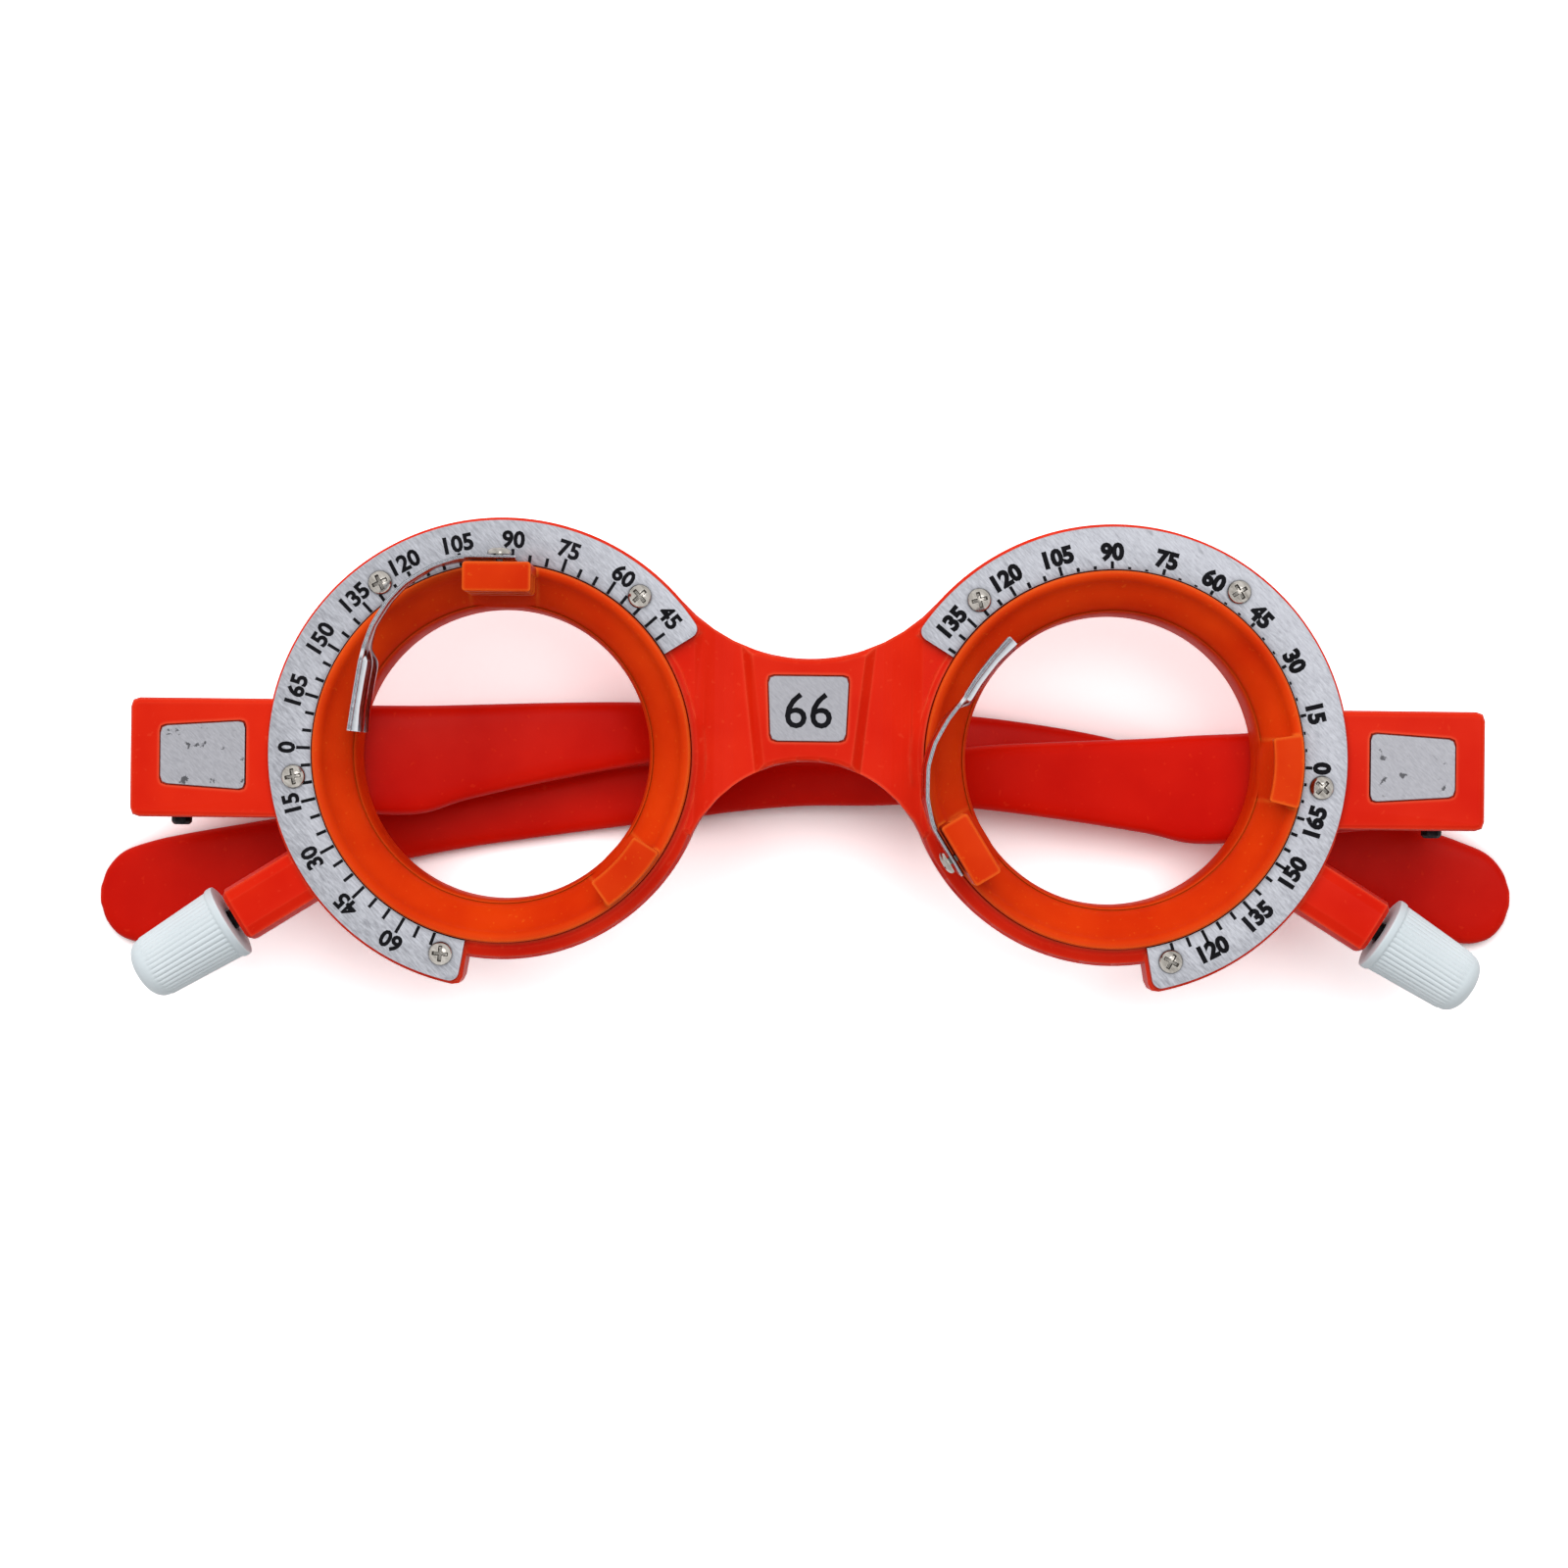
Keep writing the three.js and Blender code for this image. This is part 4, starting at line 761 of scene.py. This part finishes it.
# Each row is a place on the leaf: share of the reach, and share of the distance from the eye's axis.
CLIP_SHARES = np.array([
    (0.19, 1.018), (0.25, 1.016), (0.36, 0.994), (0.45, 0.962), (0.55, 0.915), (0.62, 0.868),
    (0.665, 0.828), (0.75, 0.806), (0.88, 0.785), (1, 0.777)])
# Both leaves were bent by hand, so their last six rows differ by this much.
CLIP_BENDS = {
    "left": [(0.01, 0), (0.025, -0.004), (0.03, -0.014), (0.03, -0.03), (0.025, -0.042), (0.025, -0.048)],
    "right": [(0, 0), (-0.004, 0.006), (-0.006, 0.014), (-0.01, 0.024), (-0.014, 0.034), (-0.018, 0.04)],
}
CLIP_FORM = np.array([  # how far the pad's ridges and its lean have grown in, from the screw onwards
    (0, 0), (0, 0), (0, -0.15), (0, -0.3), (0, -0.3), (0, -0.3), (0, -0.3), (0.15, 0), (1, 0.6), (1, 0.6),
    (1, 0.6), (1.3, 0.7)])


def clip_grid(side_bends, steps=150, levels=60):
    """Centre(s) plus out(s) times (ridge + lean + crease + half the thickness), at height z(s, share).
    The pad's ridge is 0.35 cos(6 pi share), flatter at the upper edge. The crease is 0.12 of a narrow
    bell in the middle, and it starts where the leaf leaves the post, because the foot lies flat on it."""
    shares = CLIP_SHARES + np.vstack([np.zeros((4, 2)), side_bends])
    bent = CLIP_DISTANCE * shares[:, 1:]
    turn = CLIP_REACH * shares[:, :1]
    foot_rows = [[CLIP_DISTANCE, -1.9], [CLIP_DISTANCE, 3.8]]
    path = np.vstack([foot_rows, bent * np.hstack([np.cos(turn), np.sin(turn)])])
    share = np.linspace(0, 1, steps)
    centre, form = catmull(path, share, 0.25), catmull(CLIP_FORM, share, 0.25)
    along = np.gradient(centre, axis=0)
    along /= np.linalg.norm(along, axis=1, keepdims=True)
    out = np.stack([along[:, 1], -along[:, 0]], axis=-1)
    up = np.linspace(0, 1, levels)
    around = np.concatenate([up, up[::-1]])
    side = np.concatenate([-np.ones(levels), np.ones(levels)])
    edge = np.minimum(around, 1 - around) * CLIP_TALL
    half = CLIP_HALF * np.sqrt(np.clip(1 - (1 - np.clip(edge / CLIP_HALF, 0, 1)) ** 2, 0, 1)) + 0.004
    pad, lean = form[:, :1], form[:, 1:]
    strip_z = CLIP_LOW + CLIP_TALL * around
    pad_z = np.interp(around * 6, range(7), [1.1, 2.25, 3.85, PAD_MIDDLE, 7.05, 8.65, 9.1])
    z = strip_z + (pad_z - strip_z) * np.minimum(pad, 1)
    ridge = 0.35 * np.cos(6 * np.pi * around) * (1 - 0.7 * np.clip(around * 6 - 5, 0, 1))
    free = np.clip((share[:, None] - 0.24) / 0.08, 0, 1) * (1 - np.minimum(pad, 1))
    crease = -0.12 * free * np.exp(-(((around - 0.5) / 0.06) ** 2))
    shift = pad * ridge + lean * 0.5 * (2 * around - 1) + crease + side * half
    flat = centre[:, None] + out[:, None] * shift[..., None]
    return points_of(flat[..., 0], flat[..., 1], z)


for side, (tall_at, _) in POSTS.items():
    leaf = place(turned_by(clip_grid(CLIP_BENDS[side]), tall_at), side)
    clip = skin_piece(f"{side}_leaf_spring", [(leaf, False, True)], SPRING, f"{side}_clip",
                      "spring_steel", f"{side}_spring_clip")
    print(side, "leaf:", len(clip.data.polygons), "faces")

# %% [markdown]
# ## Cross-head screws
# All ten screws are one shape: a domed head with a cross recess over a plain shank. The head is a
# lathe surface whose height drops where the point lies inside one of the two crossing arms.

# %% Screws
HEAD_RADIUS, DOME_POINTS, ARM_HALF, ARM_REACH = 1.3, 26, 0.2, 0.88


def screw_grid(height, shank, length):
    """Head height h (0.2 + 0.8 (1 - (r/R)^2.4)^0.5), less a recess where the smaller of |x| and |y| is
    under half an arm's width and the larger under its reach. Then the head's underside and the shank."""
    r = HEAD_RADIUS * np.sin(np.linspace(0, np.pi / 2, DOME_POINTS))
    dome = height * (0.2 + 0.8 * np.sqrt(np.clip(1 - (r / HEAD_RADIUS) ** 2.4, 0, 1)))
    rest = [(HEAD_RADIUS, 0), (shank, 0), (shank, 0.2 - length), (shank - 0.2, -length), (0, -length)]
    profile = np.vstack([np.stack([r, dome], axis=1), rest])
    grid = lathe(profile, 96)
    head = grid[:, :DOME_POINTS]
    x, y = np.abs(head[..., 0]), np.abs(head[..., 1])
    arm = np.clip((ARM_HALF - np.minimum(x, y)) / 0.07, 0, 1)
    arm *= np.clip((ARM_REACH - np.maximum(x, y)) / 0.15, 0, 1)
    head[..., 2] -= arm * height / 1.5
    return grid


SCREW_CIRCLE, SCREW_DEGREES = 22.525, [49.2, 126.0, 187.0, 253.7]
for side, (tall_at, _) in POSTS.items():
    for number, turn in enumerate(np.radians(SCREW_DEGREES), 1):
        spin = turned_by(screw_grid(0.75, 0.6, 3.0), number * 1.3 + (side == "left"))
        at = SCREW_CIRCLE * np.array([np.cos(turn), np.sin(turn), 0])
        skin_piece(f"{side}_dial_fixing_{number}", [(place(spin + at, side), True, False)], NICKEL,
                   "front", "nickel", f"{side}_dial_screw_{number}")
    lying = out_along(turned_by(screw_grid(0.7, 0.4, 3.4), 0.5), tall_at, 21.1, PAD_MIDDLE)
    skin_piece(f"{side}_clip_fixing", [(place(lying, side), True, False)], NICKEL, f"{side}_ring",
               "nickel", f"{side}_clip_screw")
print("screws:", 2 * len(SCREW_DEGREES) + 2)

# %% [markdown]
# ## Knobs and shafts
# The white knobs are moulded with a smooth collar, forty fine ribs for the fingertips and a domed end.
# A rib only changes the radius, so the knob is a lathe whose radius also depends on the angle. The
# bore is part of the same surface, and the black shaft sits in it.

# %% Knobs and shafts
RIBS, KNOB_AT, SHAFT_Z = 40, 34.7, -4.0  # how many, how far out and how high


def knob_grid(steps=320):
    """Radius: the profile's, less 0.13 (1 - |cos 20a|^0.7) where it has ribs, over angle a."""
    levels = np.array([  # radius, distance and share of the ribs
        (0, 8.15, 0), (1.25, 8.15, 0), (1.25, 0.2, 0), (1.45, 0, 0), (3.95, 0, 0), (4.15, 0.08, 0),
        (4.2, 0.3, 0), (4.2, 0.7, 0), (4.14, 0.9, 0), (4.02, 1.0, 0.4), (4.0, 1.15, 1)])
    sides = np.stack([np.linspace(3.99, 3.56, 14), np.linspace(1.4, 9.6, 14), np.ones(14)], axis=1)
    turn = np.linspace(0, np.pi / 2, 16)
    ribbed = np.clip(0.3 - turn, 0, 1)
    dome = np.stack([3.45 * np.cos(turn) ** 0.8, 9.8 + 2.0 * np.sin(turn), ribbed], axis=1)
    profile = np.vstack([levels, sides, dome])
    grid = lathe(profile[:, :2], steps)
    a = np.linspace(0, 2 * np.pi, steps, endpoint=False)[:, None]
    rib = 0.13 * profile[None, :, 2] * (1 - np.abs(np.cos(RIBS / 2 * a)) ** 0.7)
    grid[..., :2] *= 1 - (rib / np.maximum(profile[None, :, 0], 1e-3))[..., None]
    return grid


SHAFT = [(0, 18.6), (0.45, 18.6), (0.55, 18.7), (0.55, 20.4), (1.0, 20.4), (1.1, 20.5), (1.1, 42.6),
         (1.0, 42.7), (0, 42.7)]
for side in SIDES:
    grip = place(out_along(knob_grid(), DRIVE, KNOB_AT, SHAFT_Z), side)
    knob = skin_piece(f"{side}_ribbed_knob", [(grip, True, False)], WHITE, f"{side}_knob",
                      "white_plastic", f"{side}_knob", 40)
    axle = place(out_along(lathe(SHAFT, 48), DRIVE, 0.0, SHAFT_Z), side)
    skin_piece(f"{side}_axle", [(axle, True, False)], BLACK, f"{side}_knob", "black_steel",
               f"{side}_knob_shaft")
    print(side, "knob:", len(knob.data.polygons), "faces,", RIBS, "ribs")

# %% [markdown]
# ## Temples
# Each temple leaves its hinge at full height, narrows where it passes over the ear and ends in a
# flat paddle. Folded, the two cross and push each other aside. A temple is a rounded section carried
# along its length, where its middle line, height, thickness and sideways push are smooth curves
# through the same rows of shares that the CAD frame uses.

# %% Temples
TEMPLE_SHARES = np.array([  # way along, middle line, height and sideways push
    (0, -0.075, 1, 0.03), (0.059, -0.113, 1, 0.17), (0.114, -0.15, 1.008, 0.3), (0.156, -0.158, 1, 0.36),
    (0.19, -0.108, 0.883, 0.44), (0.252, -0.037, 0.733, 0.56), (0.314, 0.017, 0.6, 0.67),
    (0.363, 0.029, 0.483, 0.79), (0.404, 0.017, 0.433, 0.89), (0.452, 0.004, 0.43, 0.88),
    (0.5, -0.025, 0.455, 0.92), (0.549, -0.075, 0.545, 0.88), (0.604, -0.15, 0.58, 0.88),
    (0.666, -0.258, 0.535, 0.96), (0.721, -0.383, 0.517, 0.92), (0.776, -0.542, 0.567, 0.77),
    (0.831, -0.733, 0.675, 0.59), (0.886, -0.958, 0.817, 0.44), (0.935, -1.158, 0.925, 0.3),
    (0.962, -1.267, 0.958, 0.24), (0.983, -1.3, 0.817, 0.21), (0.995, -1.308, 0.525, 0.2),
    (1, -1.308, 0.2, 0.2)])
HINGE = np.array([-68.8, 0, -8.8])
LENGTH, SHOULDER, HEIGHT = 148.5, 3.4, 12.0  # the shoulder is where the shares start to count
THICK, THINNED, PUSH = 3.8, 1.2, 3.3  # full thickness, what it loses on the way, and the most push
LEVEL_FROM, LEVEL_TO = 80, 96  # where the arm bends over and lies flat on the table
SLOPE = 2 * (22.0 + HINGE[2] - 1.3) / (LEVEL_FROM + LEVEL_TO)


def temple_drop(x):
    """Slope times x, bent over to level between the two distances from the hinge."""
    bend = LEVEL_TO - LEVEL_FROM
    bent = np.clip(x - LEVEL_FROM, 0, bend)
    return SLOPE * (x - bent**2 / (2 * bend) - np.maximum(x - LEVEL_TO, 0))


def temple_grid(push_side, steps=150):
    """Section points (y, lift) at each step: y is the middle line plus the push, lift is measured
    square to the arm's slope, so x and z move with it."""
    row = catmull(TEMPLE_SHARES, np.linspace(0, 1, steps), 0.5)
    x = SHOULDER + row[:, 0] * (LENGTH - SHOULDER)
    thin = np.clip((row[:, 0] - 0.18) / 0.18, 0, 1)
    thick = THICK - THINNED * thin**2 * (3 - 2 * thin)
    high = np.maximum(HEIGHT * row[:, 2], 1.0)
    middle = HEIGHT * row[:, 1] + push_side * PUSH * row[:, 3]
    around = np.linspace(0, 2 * np.pi, 48, endpoint=False)
    c, s = np.cos(around)[None], np.sin(around)[None]
    power = 2 / np.clip(high / 1.6, 2.2, 7.0)[:, None]
    y = middle[:, None] + high[:, None] / 2 * np.sign(c) * np.abs(c) ** power
    lift = thick[:, None] / 2 * np.sign(s) * np.abs(s) ** 0.55
    slope = np.gradient(temple_drop(x), x)[:, None]
    size = np.sqrt(1 + slope**2)
    return points_of(x[:, None] + lift * slope / size, y, lift / size - temple_drop(x)[:, None])


def knuckle_grid():
    """A sleeve round the pin: a softened square profile turned about the pin, laid along y."""
    ring = lathe(soften([(1.1, -2.9), (2.6, -2.9), (2.6, 2.9), (1.1, 2.9)], 0.25), 48)
    return points_of(ring[..., 0], ring[..., 2] - 0.8, ring[..., 1])


def neck_grid():
    """The short bar from the sleeve to the arm: a softened section carried from the sleeve's wall."""
    section = soften([(-3.7, -1.75), (2.1, -1.75), (2.1, 1.75), (-3.7, 1.75)], 0.3)
    x = np.linspace(1.9, SHOULDER + 1, 6)[:, None]
    return points_of(x, section[:, 0], section[:, 1] - SLOPE * x)


for side, sign in SIDES.items():
    grids = [(temple_grid(sign), False), (knuckle_grid(), True), (neck_grid(), False)]
    skins = [(place(grid + HINGE, side, False), closed, True) for grid, closed in grids]
    # The arms wear the red made darker as painted shade.
    arm = skin_piece(f"{side}_side_arm", skins, SHADED_ARM_RED, f"{side}_temple", "red_plastic",
                     f"{side}_temple", 40)
    print(side, "temple:", len(arm.data.polygons), "faces")

# %% [markdown]
# ## What is behind and in the hinges
# The retaining rings, the brass pinions and the black hinge pins are only seen from the back and
# from below. Their CAD shapes are right, so they get broken edges and their finishes.

# %% Rear pieces
for side in SIDES:
    softened(f"{side}_ring_retainer", f"{side}_open_ring", RETAINER, 0.1, f"{side}_ring", "spring_steel")
    softened(f"{side}_pinion", f"{side}_brass_gear", BRASS, 0.04, f"{side}_knob", "brass", segments=1)
    softened(f"{side}_hinge_pin", f"{side}_hinge_rivet", BLACK, 0.1, "front", "black_steel")

# %% [markdown]
# ## Table and light
# The table is plain and nearly white. A broad lamp stands behind the brow side, a little to the
# left, so soft shadows fall towards the lower edge of the picture. The surround is even, and white
# to the camera and to metal. The photograph's table is overexposed, so the camera sees this one
# brighter than the light it hands on. Close under a piece its real shadow stays, and a painted
# shadow darkens it further.

# %% Table
TABLE_HALF, PAINTED_SHADOW_REACH = 3.0, 0.01  # in metres; the second is how far from a piece the table gets a painted shadow
material, tree, shader = shader_of("pale table", Roughness=0.9, Specular_IOR_Level=0.1)
grain = noise_of(tree, object_place(tree), 60.0, 3.0)
colour = blend_colours(tree, grain, (0.93, 0.93, 0.935, 1), (0.95, 0.95, 0.955, 1))
feed(tree, shader, {"Base Color": colour})
# Painted shadow: close under a piece the camera sees the table darker, the less open surround it finds.
near = add(tree, "ShaderNodeAmbientOcclusion", {"Distance": PAINTED_SHADOW_REACH}, samples=8).outputs["AO"]
level_with_painted_shadow = blend_colours(tree, ramp_of(tree, near, 0.4, 0.9), (0.8, 0.8, 0.8, 1), (1.85, 1.85, 1.86, 1))
bright = add(tree, "ShaderNodeBsdfDiffuse", {"Color": level_with_painted_shadow}).outputs[0]
to_camera = add(tree, "ShaderNodeLightPath").outputs["Is Camera Ray"]
mixed = add(tree, "ShaderNodeMixShader", {0: to_camera, 1: shader.outputs[0], 2: bright}).outputs[0]
feed(tree, tree.nodes["Material Output"], {"Surface": mixed})
mesh = bpy.data.meshes.new("table")
corners = [(x * TABLE_HALF, y * TABLE_HALF, -2e-5) for x, y in ((-1, -1), (1, -1), (1, 1), (-1, 1))]
mesh.from_pydata(corners, [], [(0, 1, 2, 3)])
floor = new_object("table", mesh, material)

# %% Light
def lamp(name, direction, strength, spread, glossy=True):
    """A sun whose light comes from the direction, with the spread in degrees that softens shadows.
    Without glossy it lights surfaces but isn't mirrored in them."""
    data = bpy.data.lights.new(name, "SUN")
    data.energy, data.angle = strength, math.radians(spread)
    obj = new_object(name, data)
    obj.rotation_euler = Vector(direction).to_track_quat("Z", "Y").to_euler()
    obj.visible_glossy = glossy


lamp("key", (-0.18, 0.65, 1.35), 2.35, 65, glossy=False)
lamp("fill", (0.3, 0.3, 1.6), 0.25, 20)
AMBIENT = 0.27  # the surround is white to camera, glossy and transmitted rays, and this to all others
world = bpy.data.worlds.new("studio")
bpy.context.scene.world = world
world.use_nodes = True
tree = world.node_tree
path = add(tree, "ShaderNodeLightPath").outputs
seen_white = math_of(tree, "MAXIMUM", path["Is Camera Ray"],
                     math_of(tree, "MAXIMUM", path["Is Glossy Ray"], path["Is Transmission Ray"]))
strength = ramp_of(tree, seen_white, 0.0, 1.0, AMBIENT, 1.0)
feed(tree, tree.nodes["Background"], {"Color": (1, 1, 1, 1), "Strength": strength})
bpy.context.scene.view_settings.view_transform = "Standard"
